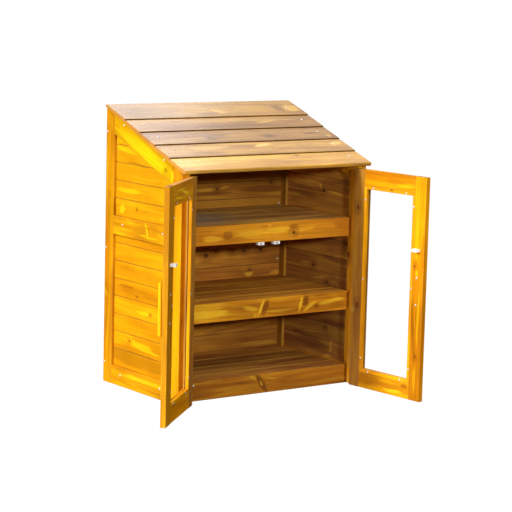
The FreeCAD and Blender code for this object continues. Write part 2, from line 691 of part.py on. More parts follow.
def make_hinge_leaves(name, side, moving):
    """Leaves in the gap beside the door: the wall's has the outer knuckles, the door's the middle."""
    kind = "door" if moving else "wall"
    third = "(leaf_height/3)"
    axis_x = f"({side}*{HINGE_AXIS})"
    inner, outer = ((HINGE_EDGE, f"{HINGE_EDGE} + leaf_thickness") if moving
                    else (f"{INNER} - leaf_thickness", INNER))
    bore = "pin_radius + pin_clearance" if moving else "pin_radius"
    screw_holes = hinge_screws(f"{name}_{kind}_leaf_hole", side, moving, "hinge_screw_play")
    leaves = []

    def strip(tag, front, back, low, height):
        outline = [(f"{side}*({inner})", front), (f"{side}*({outer})", front),
                   (f"{side}*({outer})", back), (f"{side}*({inner})", back)]
        return prism(tag, "XY", outline, low, height)

    for i, centre in enumerate(HINGE_HEIGHTS):
        low = f"({centre} - leaf_height/2)"
        tag = f"{name}_{kind}_leaf_{i + 1}"
        solids = [strip(f"{tag}_plate", LEAF_FRONT, f"{LEAF_FRONT} + leaf_width", low, "leaf_height")]
        spans = [(low, third), (f"({low} + 2*{third})", third)]
        if moving:
            spans = [(f"({low} + {third} + knuckle_gap)", f"({third} - 2*knuckle_gap)")]
        holes = screw_holes[3 * i:3 * i + 3]
        for k, (start, length) in enumerate(spans):
            solids.append(cylinder(f"{tag}_knuckle_{k + 1}", axis_x, HINGE_AXIS_Y, start,
                                   "knuckle_radius", length))
            solids.append(strip(f"{tag}_neck_{k + 1}", HINGE_AXIS_Y, f"{LEAF_FRONT} + panel_play",
                                start, length))
            holes.append(cylinder(f"{tag}_bore_{k + 1}", axis_x, HINGE_AXIS_Y, f"{start} - 1",
                                  bore, f"{length} + 2"))
        fused = doc.addObject("Part::MultiFuse", f"{tag}_fused")
        fused.Shapes = solids
        bored = doc.addObject("Part::Cut", tag)
        bored.Base = fused
        bored.Tool = group(f"{tag}_holes", holes)
        leaves.append(bored)
    return group(f"{name}_door_hinge_leaves", leaves) if moving else leaves


def make_hinge_pins():
    """Headed pins, tight in the wall leaves' knuckles and free in the doors'."""
    pins = []
    for name, side in SIDES.items():
        for i, centre in enumerate(HINGE_HEIGHTS):
            x = f"({side}*{HINGE_AXIS})"
            low = f"({centre} - leaf_height/2)"
            tag = f"{name}_hinge_pin_{i + 1}"
            shaft = cylinder(f"{tag}_shaft", x, HINGE_AXIS_Y, low, "pin_radius", "leaf_height")
            foot = button(f"{tag}_foot", (x, HINGE_AXIS_Y, low), (0, 0, -1),
                          "pin_head_radius", "pin_head_height")
            head = button(f"{tag}_head", (x, HINGE_AXIS_Y, f"{low} + leaf_height"), (0, 0, 1),
                          "pin_head_radius", "pin_head_height")
            pin = doc.addObject("Part::MultiFuse", tag)
            pin.Shapes = [shaft, foot, head]
            pins.append(pin)
    group("hinge_pins", pins)


def make_door_screws(name, side):
    """Screws in the beads, the handle's two screws and those of the hinge leaves."""
    low_x = f"({FREE_EDGE} + door_stile_width + bead_width/2)"
    high_x = f"({HINGE_EDGE} - door_stile_width - bead_width/2)"
    low_z = f"({DOOR_BOTTOM} + door_rail_width + bead_width/2)"
    high_z = f"({DOOR_TOP} - door_rail_width - bead_width/2)"
    places = []
    for x in (low_x, high_x):
        places += [(x, f"({low_z} + bead_screw_inset)"), (x, f"(({low_z} + {high_z})/2)"),
                   (x, f"({high_z} - bead_screw_inset)")]
    for z in (low_z, high_z):
        places += [(f"({low_x} + rail_screw_inset)", z), (f"({high_x} - rail_screw_inset)", z)]
    for sign in (-1, 1):
        places.append((STILE_LINE, f"(handle_centre_height + {sign}*handle_screw_spacing/2)"))
    heads = [screw_head(f"{name}_door_screw_{i + 1}", (f"{side}*{x}", DOOR_BACK, z), (0, 1, 0))
             for i, (x, z) in enumerate(places)]
    heads += hinge_screws(f"{name}_door_hinge_screw", side, True, "0")
    return group(f"{name}_door_screws", heads)


def make_carcass_screws():
    """Screws of the side walls, the back, the floor's fascia, the wall hinge leaves and the roof."""
    frame, roof = [], []
    for name, side in SIDES.items():
        at_front = f"({STILE_BACK} + wall_screw_inset)"
        at_back = f"({REAR_STILE_FRONT} - wall_screw_inset)"
        places = [(f"({BACK} - screw_edge_distance)", f"(rear_screw_start + {k}*rear_screw_pitch)")
                  for k in range(3)]
        for y in (at_front, at_back):
            places.append((y, "(rail_width - shelf_thickness - cleat_height/2)"))
            places.append((y, "(upper_shelf_top - shelf_thickness - cleat_height/2)"))
            places.append((y, f"({roof_line(y)} - roof_batten_height/2*{SLOPE_STRETCH})"))
        for k, (y, z) in enumerate(places):
            frame.append(screw_head(f"{name}_wall_screw_{k + 1}", (f"{side}*{OUTER}", y, z), (side, 0, 0)))
        for k in range(4):
            place = (f"{side}*({INNER} - screw_edge_distance)", BOARD_FRONT,
                     f"board_screw_start + {k}*board_screw_pitch")
            frame.append(screw_head(f"{name}_back_screw_{k + 1}", place, (0, -1, 0)))
        frame += hinge_screws(f"{name}_wall_hinge_screw", side, False, "0")
        for k in range(len(ROOF_BOARDS)):
            roof.append(make_roof_screw(f"{name}_roof_screw_{k + 1}", side, k))
    place = ("fascia_screw_x", FASCIA_FRONT, "fascia_screw_height")
    frame.append(screw_head("fascia_screw", place, (0, -1, 0)))
    group("frame_screws", frame)
    group("roof_screws", roof)


def make_roof_screw(label, side, k):
    """A screw through a roof board, a little above its middle, into the batten below."""
    behind_edge = 0.62 * roof_cover
    along = k * roof_cover + behind_edge - SIZES["roof_front_overhang"]
    taper = SIZES["roof_step"] / (roof_cover - SIZES["roof_joint_gap"] - 2 * SIZES["eased_edge"])
    surface = SIZES["roof_thickness"] - taper * (behind_edge - SIZES["eased_edge"])
    x = side * (SIZES["cabinet_width"] / 2 - SIZES["wall_thickness"] - SIZES["roof_batten_width"] / 2)
    head = screw_head(label, (), (0, 0, 1))
    tilt = Rotation(Vector(1, 0, 0), -math.degrees(math.atan(taper)))
    head.Placement = slope_placement().multiply(Placement(Vector(x, along, surface), tilt))
    return head


wall_leaves = []
for side_name, side_sign in SIDES.items():
    make_side_frame(side_name, side_sign)
    make_side_boards(side_name, side_sign)
    wall_leaves += make_hinge_leaves(side_name, side_sign, moving=False)
    make_door(side_name, side_sign)
group("wall_hinge_leaves", wall_leaves)
make_back()
make_shelf("floor", "rail_width")
make_shelf("lower_shelf", "lower_shelf_top")
make_shelf("upper_shelf", "upper_shelf_top")
make_floor_bearer()
make_roof()
make_catches()
make_hinge_pins()
make_carcass_screws()
doc.recompute()

# Every feature must be sound, and every pocket must have cut something
for item in doc.Objects:
    if "Invalid" in item.State or "Error" in item.State:
        raise RuntimeError(f"{item.Label} failed: {item.State}")
    if item.TypeId == "PartDesign::Pocket":
        if item.Shape.Volume > item.BaseFeature.Shape.Volume - 0.1:
            raise RuntimeError(f"{item.Label} cuts nothing")

# The sub-parts are the bodies, groups and cuts that no other object uses
os.makedirs("parts", exist_ok=True)
kinds = ("PartDesign::Body", "Part::Compound", "Part::Common")
used = {child.Name for item in doc.Objects if item.TypeId.startswith("Part::")
        for child in item.OutList}
for item in doc.Objects:
    if item.TypeId not in kinds or item.Name in used:
        continue
    if item.Shape.isNull() or not item.Shape.isValid():
        raise RuntimeError(f"{item.Label} has no sound shape")
    item.Shape.exportStep(f"parts/{item.Label}.step")
    print(item.Label, len(item.Shape.Solids), "solids", round(item.Shape.Volume / 1000), "cm3")
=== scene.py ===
import json
import math
import random

import bmesh
import bpy
from mathutils import Euler, Matrix, Vector


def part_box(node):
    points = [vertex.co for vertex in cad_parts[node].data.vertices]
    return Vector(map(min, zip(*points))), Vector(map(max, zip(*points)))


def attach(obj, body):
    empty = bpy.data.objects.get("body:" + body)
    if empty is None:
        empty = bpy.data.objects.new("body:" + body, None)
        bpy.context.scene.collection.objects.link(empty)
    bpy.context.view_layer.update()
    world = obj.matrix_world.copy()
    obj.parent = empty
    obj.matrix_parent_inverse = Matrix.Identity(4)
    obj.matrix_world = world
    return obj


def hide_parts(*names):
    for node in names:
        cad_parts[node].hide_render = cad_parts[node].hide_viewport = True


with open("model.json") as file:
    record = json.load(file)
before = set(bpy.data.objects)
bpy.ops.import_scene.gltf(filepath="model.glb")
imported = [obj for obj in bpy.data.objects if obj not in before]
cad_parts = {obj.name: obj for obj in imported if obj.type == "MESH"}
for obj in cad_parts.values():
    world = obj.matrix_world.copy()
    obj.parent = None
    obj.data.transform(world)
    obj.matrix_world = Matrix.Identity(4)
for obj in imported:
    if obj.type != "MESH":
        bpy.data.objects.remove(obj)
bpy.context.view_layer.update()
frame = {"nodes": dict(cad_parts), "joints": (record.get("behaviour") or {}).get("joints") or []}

# Places read from the frame

AXES = "XYZ"
NODES = frame["nodes"]
HINGES = {joint["child"]: joint for joint in frame["joints"]}
front_low, front_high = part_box("left_front_stile")
back_low, back_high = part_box("left_back_stile")
ROOF_SLOPE = (back_high.z - front_high.z) / (back_high.y - front_high.y)
ROOF_ANGLE = math.atan(ROOF_SLOPE)
FRONT_TOP = Vector((0, front_low.y, back_high.z - ROOF_SLOPE * (back_high.y - front_low.y)))
SIDE_SHOULDERS = (front_high.y, back_low.y)
SLOPING_SHOULDERS = [(y - front_low.y) / math.cos(ROOF_ANGLE) for y in SIDE_SHOULDERS]


# Layouts of the wood's figure: a rotation and a shift of object coordinates

UPRIGHT = ((0, 0, 0), (0, 0, 0))


def sloping():
    """Y runs up the slope from the walls' front top corner, and Z out of the roof."""
    rotation = (-ROOF_ANGLE, 0, 0)
    return rotation, -(Euler(rotation).to_matrix() @ FRONT_TOP)


def opening(door):
    """How far a door is turned about Z from shut to rest."""
    hinge = HINGES[door]
    return -math.radians(hinge["range_deg"][0]) * hinge["axis"][2]


def shut(door):
    """A door's pieces lie as they do when the door is shut."""
    rotation = (0, 0, -opening(door))
    hinge = Vector(HINGES[door]["pos_m"])
    return rotation, hinge - Euler(rotation).to_matrix() @ hinge


def box_in(node, layout):
    """Lowest and highest corner of a CAD node in a layout."""
    rotation, shift = layout
    turn = Euler(rotation).to_matrix()
    points = [turn @ vertex.co + Vector(shift) for vertex in NODES[node].data.vertices]
    return [Vector([pick(point[i] for point in points) for i in range(3)]) for pick in (min, max)]


# Shader nodes

MIX_COLOURS = slice(6, 8)
MIX_RESULT = 2


class Shader:
    """Builds one material's node tree."""

    def __init__(self, name):
        self.material = bpy.data.materials.new(name)
        self.material.use_nodes = True
        self.tree = self.material.node_tree
        self.tree.nodes.clear()
        self.output = self.add("ShaderNodeOutputMaterial")

    def add(self, kind, **settings):
        node = self.tree.nodes.new(kind)
        for key, value in settings.items():
            setattr(node, key, value)
        return node

    def link(self, source, target):
        self.tree.links.new(source, target)

    def feed(self, target, value):
        """Links a socket to another one, or gives it a constant."""
        if isinstance(value, bpy.types.NodeSocket):
            self.link(value, target)
        else:
            target.default_value = value

    def fed(self, kind, values, **settings):
        """A node with its inputs fed in their order."""
        node = self.add(kind, **settings)
        for socket, value in zip(node.inputs, values):
            self.feed(socket, value)
        return node

    def math(self, operation, *values, clamp=False):
        return self.fed("ShaderNodeMath", values, operation=operation, use_clamp=clamp).outputs[0]

    def plus(self, first, second):
        return self.math("ADD", first, second)

    def times(self, first, second):
        return self.math("MULTIPLY", first, second)

    def gap(self, first, second):
        """How far two values are apart."""
        return self.math("ABSOLUTE", self.math("SUBTRACT", first, second))

    def vector(self, operation, *values, output="Vector"):
        return self.fed("ShaderNodeVectorMath", values, operation=operation).outputs[output]

    def split(self, value):
        return list(self.fed("ShaderNodeSeparateXYZ", (value,)).outputs)

    def by_axis(self, value):
        return dict(zip(AXES, self.split(value)))

    def join(self, *values):
        return self.fed("ShaderNodeCombineXYZ", values).outputs[0]

    def mapping(self, source, location=(0, 0, 0), rotation=(0, 0, 0), scale=(1, 1, 1), kind="POINT"):
        node = self.add("ShaderNodeMapping", vector_type=kind)
        self.link(source, node.inputs["Vector"])
        node.inputs["Location"].default_value = location
        node.inputs["Rotation"].default_value = rotation
        node.inputs["Scale"].default_value = scale
        return node.outputs[0]

    def noise(self, source, scale=1.0, detail=3.0, roughness=0.55, distortion=0.0, colour=False):
        node = self.add("ShaderNodeTexNoise")
        self.link(source, node.inputs["Vector"])
        node.inputs["Scale"].default_value = scale
        node.inputs["Detail"].default_value = detail
        node.inputs["Roughness"].default_value = roughness
        node.inputs["Distortion"].default_value = distortion
        return node.outputs["Color" if colour else 0]

    def remap(self, source, low, high, to_low=0.0, to_high=1.0, smooth=False):
        values = (source, low, high, to_low, to_high)
        kind = "SMOOTHSTEP" if smooth else "LINEAR"
        return self.fed("ShaderNodeMapRange", values, interpolation_type=kind).outputs[0]

    def rise(self, source, start, end):
        """0 up to the start, 1 from the end on, and a soft slope between them."""
        return self.remap(source, start, end, smooth=True)

    def fall(self, source, start, end, top=1.0):
        """The same, from the top value down to 0."""
        return self.remap(source, start, end, top, 0.0, smooth=True)

    def mix(self, factor, first, second):
        """The first colour where the factor is 0, and the second where it is 1."""
        node = self.add("ShaderNodeMix", data_type="RGBA")
        self.feed(node.inputs[0], factor)
        for socket, colour in zip(node.inputs[MIX_COLOURS], (first, second)):
            self.feed(socket, colour if isinstance(colour, bpy.types.NodeSocket) else (*colour, 1.0))
        return node.outputs[MIX_RESULT]

    def arris(self, radius):
        """A normal that turns round the edges, and how far it has turned."""
        bevel = self.add("ShaderNodeBevel", samples=4)
        bevel.inputs["Radius"].default_value = radius
        flat = self.add("ShaderNodeNewGeometry").outputs["True Normal"]
        likeness = self.vector("DOT_PRODUCT", bevel.outputs[0], flat, output="Value")
        return bevel.outputs[0], self.math("SUBTRACT", 1.0, likeness)

    def bump(self, height, strength, distance, normal=None):
        node = self.add("ShaderNodeBump")
        if normal:
            self.link(normal, node.inputs["Normal"])
        node.inputs["Strength"].default_value = strength
        node.inputs["Distance"].default_value = distance
        self.link(height, node.inputs["Height"])
        return node.outputs[0]

    def finish(self, shader):
        """Puts a shader on the surface, and gives back the material."""
        self.link(shader.outputs[0], self.output.inputs["Surface"])
        return self.material


def dress(node, material):
    """Gives a CAD node one material."""
    mesh = NODES[node].data
    mesh.materials.clear()
    mesh.materials.append(material)


# The wood's colours

GOLD = {"base": (0.70, 0.262, 0.003), "light": (0.90, 0.39, 0.003), "dark": (0.36, 0.115, 0.003),
        "sap": (1.0, 0.56, 0.007), "knot": (0.11, 0.028, 0.002)}
WALL = {"base": (0.64, 0.262, 0.003), "light": (0.76, 0.335, 0.004), "dark": (0.44, 0.150, 0.003),
        "sap": (0.94, 0.49, 0.006), "knot": (0.16, 0.045, 0.002)}
# The inside look is painted shade: a darker, hazier copy of the wood, for boards inside the cabinet.
SHADED_INSIDE = {"base": (0.52, 0.196, 0.026), "light": (0.70, 0.31, 0.036), "dark": (0.24, 0.080, 0.016),
          "sap": (0.90, 0.46, 0.045), "knot": (0.06, 0.020, 0.008)}
FASCIA = {"base": (0.60, 0.222, 0.009), "light": (0.84, 0.37, 0.013), "dark": (0.26, 0.084, 0.007),
          "sap": (1.0, 0.58, 0.022), "knot": (0.08, 0.024, 0.005)}
ROOF = {"base": (0.34, 0.158, 0.012), "light": (0.48, 0.250, 0.022), "dark": (0.17, 0.070, 0.009),
        "sap": (0.72, 0.43, 0.045), "knot": (0.07, 0.028, 0.008)}
# A pale colour for the arrises: partly wear, partly a painted highlight where they catch the light.
WORN_ARRIS_AND_HIGHLIGHT = (0.95, 0.60, 0.20)
SAWN_END = (0.55, 0.235, 0.05)

# The two axes of the face on which a piece's figure is laid out, for each direction of the grain
FACES = {"X": "XZ", "Y": "YZ", "Z": "XZ"}

# Knots seen in the boards: place on the piece's face, and radius
KNOTS = {
    "left_upper_boards": [(0.0525, 0.6492, 0.0035)],
    "left_lower_boards": [(0.0427, 0.3389, 0.004), (-0.0478, 0.2869, 0.004), (0.0868, 0.1721, 0.005)],
    "left_top_rail": [(0.095, -0.04, 0.003)],
    "back_boards": [
        (0.0702, 0.6851, 0.0055), (0.3217, 0.6992, 0.0065), (0.0277, 0.4355, 0.009),
        (0.2006, 0.444, 0.007), (0.2786, 0.4447, 0.007), (0.2299, 0.3695, 0.0045)],
    "right_upper_boards": [(-0.0287, 0.6928, 0.0065)],
    "right_lower_boards": [
        (0.0198, 0.4073, 0.006), (-0.0635, 0.3528, 0.006), (-0.0605, 0.1802, 0.005),
        (-0.178, 0.5082, 0.008)],
    "right_front_stile": [(-0.1988, 0.4751, 0.009)],
    "upper_shelf_fascia": [(0.1076, 0.573, 0.0065)],
    "lower_shelf_fascia": [(0.2196, 0.2985, 0.0035)],
    "roof_board_middle": [(-0.1484, 0.2257, 0.005), (0.1107, 0.2253, 0.006)],
    "roof_board_front": [(0.1259, 0.066, 0.003)],
    "right_door_hinge_stile": [(0.3441, 0.6586, 0.0075), (0.3323, 0.3023, 0.009)],
    "right_door_beads": [(0.1743, 0.7404, 0.004)],
    "right_door_meeting_stile": [(0.0465, 0.4816, 0.003), (0.0278, 0.161, 0.0045)],
}

# Tints seen in the boards: place, half lengths, tilt in degrees, colour and strength. A few are painted
# light, as marked.
TINTS = {
    "left_upper_boards": [
        (0.0576, 0.8096, 0.085, 0.006, 3, "dark", 0.7), (0.1507, 0.6425, 0.016, 0.022, 20, "sap", 0.9),
        (0.1, 0.712, 0.1, 0.011, 0, "sap", 0.6), (0.115, 0.722, 0.05, 0.003, 0, "dark", 0.5),
        (0.13, 0.855, 0.06, 0.01, 8, "sap", 0.6), (0.08, 0.69, 0.07, 0.003, 2, "dark", 0.4)],
    "left_lower_boards": [
        (0.05, 0.352, 0.17, 0.017, 2, "dark", 0.6), (0.1092, 0.3645, 0.055, 0.007, 0, "dark", 1.0),
        (0.02, 0.3, 0.16, 0.014, 0, "sap", 0.25), (0.004, 0.2868, 0.036, 0.0065, 0, "sap", 1.0),
        (0.0, 0.16, 0.12, 0.015, 7, "sap", 0.75), (0.08, 0.182, 0.03, 0.008, 25, "sap", 0.7),
        (0.036, 0.104, 0.3, 0.036, 0, (0.43, 0.172, 0.003), 0.97),
        (0.04, 0.418, 0.035, 0.002, 0, "dark", 0.4), (0.05, 0.45, 0.15, 0.02, 0, "light", 0.4)],
    "left_middle_rail": [
        (-0.0293, 0.588, 0.0045, 0.034, -20, "sap", 0.9), (-0.075, 0.6, 0.03, 0.02, 30, "brown", 0.45),
        (0.02, 0.59, 0.03, 0.025, 30, "brown", 0.35), (-0.05, 0.563, 0.06, 0.006, 0, "sap", 0.5)],
    "left_back_stile": [
        (0.2349, 0.33, 0.0035, 0.024, -25, "sap", 0.9), (0.229, 0.35, 0.012, 0.018, 0, "brown", 0.6),
        (0.2194, 0.6885, 0.01, 0.014, 0, "brown", 0.5), (0.222, 0.45, 0.004, 0.09, 0, "brown", 0.4),
        (0.238, 0.75, 0.008, 0.14, 0, "sap", 0.6)],
    "left_top_rail": [
        (0.22, -0.04, 0.26, 0.026, 0, "sap", 0.55), (0.25, -0.012, 0.25, 0.006, 0, "brown", 0.25),
        (0.085, -0.05, 0.03, 0.03, 0, "brown", 0.5)],
    "left_bottom_rail": [
        (0.0, 0.045, 0.16, 0.008, 0, "sap", 0.6), (0.05, 0.02, 0.12, 0.006, 0, "brown", 0.3)],
    "back_boards": [
        (0.29, 0.676, 0.12, 0.017, 0, "dark", 0.7), (0.02, 0.683, 0.055, 0.007, 0, "sap", 0.75),
        (0.105, 0.689, 0.025, 0.005, 10, "sap", 0.7), (0.02, 0.668, 0.12, 0.008, 0, "dark", 0.6),
        (0.1, 0.706, 0.24, 0.006, 2, "light", 0.8), (0.227, 0.351, 0.022, 0.011, 0, "sap", 0.9),
        (0.35, 0.352, 0.035, 0.009, 0, "light", 0.8), (0.2716, 0.0848, 0.1, 0.008, 0, "sap", 0.45),
        (0.1501, 0.1393, 0.12, 0.008, 0, "light", 0.6), (0.0433, 0.0857, 0.055, 0.011, 0, "light", 0.8),
        (0.1, 0.055, 0.3, 0.012, 0, "dark", 0.5), (0.05, 0.4, 0.25, 0.012, 0, "light", 0.4)],
    "right_upper_boards": [
        (-0.085, 0.6895, 0.062, 0.0035, 4, "sap", 0.85), (-0.012, 0.706, 0.018, 0.006, 60, "sap", 0.7),
        (0.05, 0.722, 0.06, 0.005, 6, "light", 0.8), (-0.06, 0.64, 0.1, 0.016, 0, "brown", 0.4)],
    "right_lower_boards": [
        (0.0606, 0.4085, 0.032, 0.0035, 3, "sap", 0.8), (-0.02, 0.366, 0.05, 0.004, -12, "sap", 0.7),
        (-0.1, 0.36, 0.03, 0.004, 0, "sap", 0.6), (-0.0981, 0.1182, 0.008, 0.026, 5, "sap", 0.7),
        (-0.0815, 0.0764, 0.028, 0.007, -10, "sap", 0.8), (0.0111, 0.1547, 0.075, 0.0045, -6, "sap", 0.6),
        (0.03, 0.115, 0.11, 0.026, 0, "dark", 0.65), (-0.17, 0.1, 0.03, 0.03, 0, "brown", 0.5)],
    "right_front_stile": [
        (-0.203, 0.33, 0.005, 0.12, 0, "sap", 0.45), (-0.199, 0.47, 0.016, 0.05, 0, "dark", 0.6)],
    "upper_shelf_fascia": [
        (-0.1804, 0.5784, 0.022, 0.017, 0, "dark", 0.55), (0.035, 0.583, 0.065, 0.0105, 3, "sap", 1.0),
        (0.16, 0.584, 0.055, 0.009, 6, "sap", 1.0), (0.108, 0.595, 0.02, 0.01, 0, "dark", 0.8),
        (0.097, 0.566, 0.009, 0.009, 40, "sap", 0.9), (-0.2448, 0.5719, 0.045, 0.012, 0, "sap", 0.6),
        (-0.075, 0.578, 0.065, 0.01, 3, "sap", 0.65), (0.0, 0.603, 0.012, 0.005, 0, "sap", 0.6),
        (0.26, 0.588, 0.07, 0.006, 0, "light", 0.7), (0.2, 0.58, 0.13, 0.022, 0, "light", 0.45),
        (0.22, 0.567, 0.15, 0.006, 0, "brown", 0.5), (0.31, 0.59, 0.02, 0.02, 0, "brown", 0.5)],
    "lower_shelf_fascia": [
        (-0.262, 0.306, 0.085, 0.013, 3, "sap", 1.0), (-0.03, 0.309, 0.0055, 0.036, -24, "sap", 1.0),
        (-0.01, 0.312, 0.011, 0.03, -24, "dark", 0.9), (-0.075, 0.311, 0.035, 0.009, -8, "sap", 0.6),
        (-0.055, 0.287, 0.006, 0.01, -30, "sap", 0.8), (0.148, 0.312, 0.007, 0.03, -12, "sap", 1.0),
        (0.17, 0.322, 0.014, 0.024, -20, "dark", 0.95), (0.29, 0.312, 0.065, 0.008, 8, "sap", 1.0),
        (0.19, 0.3, 0.03, 0.007, 30, "sap", 0.85), (0.06, 0.295, 0.07, 0.006, 0, "sap", 0.5),
        (0.26, 0.332, 0.09, 0.005, 0, "light", 0.5), (-0.27, 0.31, 0.1, 0.032, 0, "sap", 0.4),
        (0.27, 0.296, 0.09, 0.016, 0, "dark", 0.35), (-0.13, 0.288, 0.12, 0.006, 0, "brown", 0.5)],
    "floor_fascia": [
        (-0.0169, 0.033, 0.013, 0.045, 38, "dark", 0.8), (-0.056, 0.057, 0.018, 0.006, -30, "sap", 0.85),
        (0.0188, 0.0504, 0.032, 0.004, -6, "sap", 0.7), (-0.02, 0.036, 0.0045, 0.014, 30, "sap", 0.8),
        (-0.13, 0.03, 0.1, 0.012, 0, "light", 0.35), (0.22, 0.04, 0.12, 0.01, 0, "light", 0.3)],
    # The grey patch on the upper shelf boards is a painted reflection in the varnish.
    "upper_shelf_boards": [(-0.27, 0.03, 0.27, 0.2, -12, (0.17, 0.145, 0.095), 0.6)],
    "lower_shelf_boards": [
        (-0.25, 0.1, 0.22, 0.06, 0, "dark", 0.4), (0.1, -0.17, 0.3, 0.02, 0, "light", 0.5)],
    "floor_boards": [
        # The first dark tint, over the left part of the floor boards, is painted shade.
        (-0.1039, 0.008, 0.28, 0.05, 0, "dark", 0.5), (0.0, 0.16, 0.3, 0.03, 0, "dark", 0.35)],
    "roof_board_back": [
        (-0.27, 0.45, 0.17, 0.06, 0, "dark", 0.32), (0.2, 0.45, 0.2, 0.06, 0, "light", 0.45),
        (0.025, 0.44, 0.03, 0.012, -30, "sap", 0.7), (-0.03, 0.423, 0.05, 0.01, 0, "dark", 0.6),
        (0.3039, 0.4606, 0.022, 0.032, 10, "dark", 0.65), (0.365, 0.4557, 0.035, 0.04, 0, "sap", 0.8),
        (0.1, 0.48, 0.3, 0.01, 0, "light", 0.5), (0.18, 0.43, 0.12, 0.01, 0, "light", 0.5)],
    "roof_board_fourth": [
        (-0.05, 0.316, 0.33, 0.014, 0, "dark", 0.55), (0.04, 0.362, 0.32, 0.012, 0, "sap", 0.4),
        (0.17, 0.345, 0.06, 0.008, 10, "sap", 0.6), (0.36, 0.335, 0.04, 0.015, 0, "light", 0.6)],
    "roof_board_middle": [
        (0.3133, 0.2387, 0.055, 0.01, 5, "dark", 0.7), (0.372, 0.2119, 0.014, 0.018, 25, "sap", 0.9),
        (-0.12, 0.235, 0.05, 0.016, 0, "dark", 0.45), (0.11, 0.23, 0.05, 0.014, 0, "dark", 0.45),
        (0.0, 0.205, 0.35, 0.008, 0, "light", 0.35)],
    "roof_board_second": [
        (0.035, 0.156, 0.045, 0.013, 8, "sap", 0.9), (0.135, 0.148, 0.05, 0.006, 0, "sap", 0.5),
        (0.365, 0.151, 0.04, 0.016, 20, "sap", 0.8), (-0.22, 0.112, 0.1, 0.012, 0, "dark", 0.55),
        (-0.19, 0.15, 0.1, 0.012, 0, "sap", 0.5), (0.2, 0.118, 0.18, 0.01, 0, "dark", 0.4)],
    "roof_board_front": [
        (-0.1, 0.06, 0.2, 0.01, 0, "light", 0.5), (0.2, 0.035, 0.16, 0.01, 0, "light", 0.4)],
    "right_door_hinge_stile": [
        (0.3557, 0.286, 0.01, 0.016, 0, "sap", 0.9), (0.352, 0.7, 0.008, 0.05, 0, "light", 0.5),
        (0.3428, 0.364, 0.006, 0.05, 0, "light", 0.7), (0.335, 0.48, 0.01, 0.12, 0, "brown", 0.5)],
    "right_door_top_rail": [
        (0.16, 0.7705, 0.055, 0.009, 0, "brown", 0.7), (0.1, 0.758, 0.05, 0.006, 0, "sap", 0.6)],
    "right_door_meeting_stile": [
        (0.04, 0.478, 0.013, 0.028, 0, "brown", 0.75), (0.034, 0.458, 0.007, 0.014, 0, "sap", 0.8),
        (0.044, 0.255, 0.009, 0.13, -5, "dark", 0.75), (0.022, 0.29, 0.006, 0.1, 0, "sap", 0.7),
        (0.035, 0.58, 0.012, 0.06, 0, "sap", 0.5), (0.03, 0.08, 0.008, 0.05, 0, "sap", 0.5)],
    "right_door_bottom_rail": [
        (0.125, 0.02, 0.05, 0.007, -4, "sap", 0.9), (0.0785, 0.0465, 0.018, 0.012, 0, "dark", 0.8),
        # The dark tint by the hinge is painted shadow, where the cabinet shades the rail.
        (0.17, 0.05, 0.06, 0.008, 0, "light", 0.6), (0.285, 0.035, 0.045, 0.03, 0, "dark", 0.45)],
    "left_door_meeting_stile": [
        (-0.001, 0.7, 0.012, 0.14, 0, "brown", 0.9), (-0.035, 0.3, 0.008, 0.16, 0, "light", 0.4)],
    "left_door_top_rail": [
        (-0.21, 0.762, 0.055, 0.006, 8, "sap", 1.0), (-0.14, 0.775, 0.06, 0.005, 0, "sap", 0.8),
        (-0.12, 0.752, 0.05, 0.004, 5, "sap", 0.8)],
    "left_door_hinge_stile": [
        (-0.345, 0.6, 0.008, 0.12, 0, "light", 0.5), (-0.34, 0.25, 0.008, 0.14, 0, "brown", 0.5)],
}

# How much stain each piece took up, as a factor on its colour. The factors also paint light:
# some paint shade or light onto whole pieces, the large blue ones paint the haze of shaded
# pieces, and those of the roof boards and the upper shelf boards paint a sheen.
STAIN_AND_PAINTED_LIGHT = {
    "left_lower_boards": (0.95, 0.93, 0.55), "left_upper_boards": (1.0, 1.07, 0.7),
    "left_top_rail": (1.05, 1.34, 0.6), "left_middle_rail": (0.92, 1.02, 0.8),
    "left_bottom_rail": (0.9, 0.98, 1.0), "left_front_stile": (0.95, 1.0, 1.0),
    "roof_board_back": (0.96, 0.92, 0.9), "roof_board_fourth": (0.96, 0.9, 1.3),
    "roof_board_middle": (0.82, 0.77, 1.6), "roof_board_second": (1.14, 1.15, 2.4),
    "roof_board_front": (1.66, 1.78, 3.0), "back_boards": (0.81, 0.81, 0.75),
    "upper_shelf_fascia": (1.06, 0.96, 1.3), "lower_shelf_fascia": (1.07, 1.02, 1.2),
    "floor_fascia": (0.66, 0.59, 1.1), "right_upper_boards": (1.47, 1.68, 2.0),
    "right_lower_boards": (0.96, 1.06, 1.6), "upper_shelf_boards": (1.34, 1.75, 3.0),
    "lower_shelf_boards": (1.1, 1.16, 1.05), "floor_boards": (0.86, 0.88, 1.3),
    "right_back_stile": (0.48, 0.52, 5.0), "right_front_stile": (1.05, 1.1, 4.0),
    "left_door_meeting_stile": (0.82, 0.9, 1.6), "left_door_handle": (1.45, 2.1, 1.4),
    "right_door_handle": (1.2, 1.4, 1.2), "left_door_hinge_stile": (0.72, 0.8, 9.0),
    "left_door_top_rail": (1.1, 1.2, 3.0), "right_door_hinge_stile": (0.66, 0.68, 8.0),
    "right_door_meeting_stile": (0.88, 0.82, 0.6), "right_door_top_rail": (0.78, 0.72, 0.55),
    "right_door_bottom_rail": (0.88, 0.88, 1.0),
}

# The stain of a piece that isn't listed, and of the sides that face outdoors. On boards of the
# inside look, the outer sides' factor takes the painted shade back off, to the wall's golden tone.
EVEN_STAIN = (1.0, 1.0, 1.0)
OUTER_SIDE_UNSHADED = (1.22, 1.30, 0.15)
DOOR_FRONT = (0.92, 0.98, 1.0)

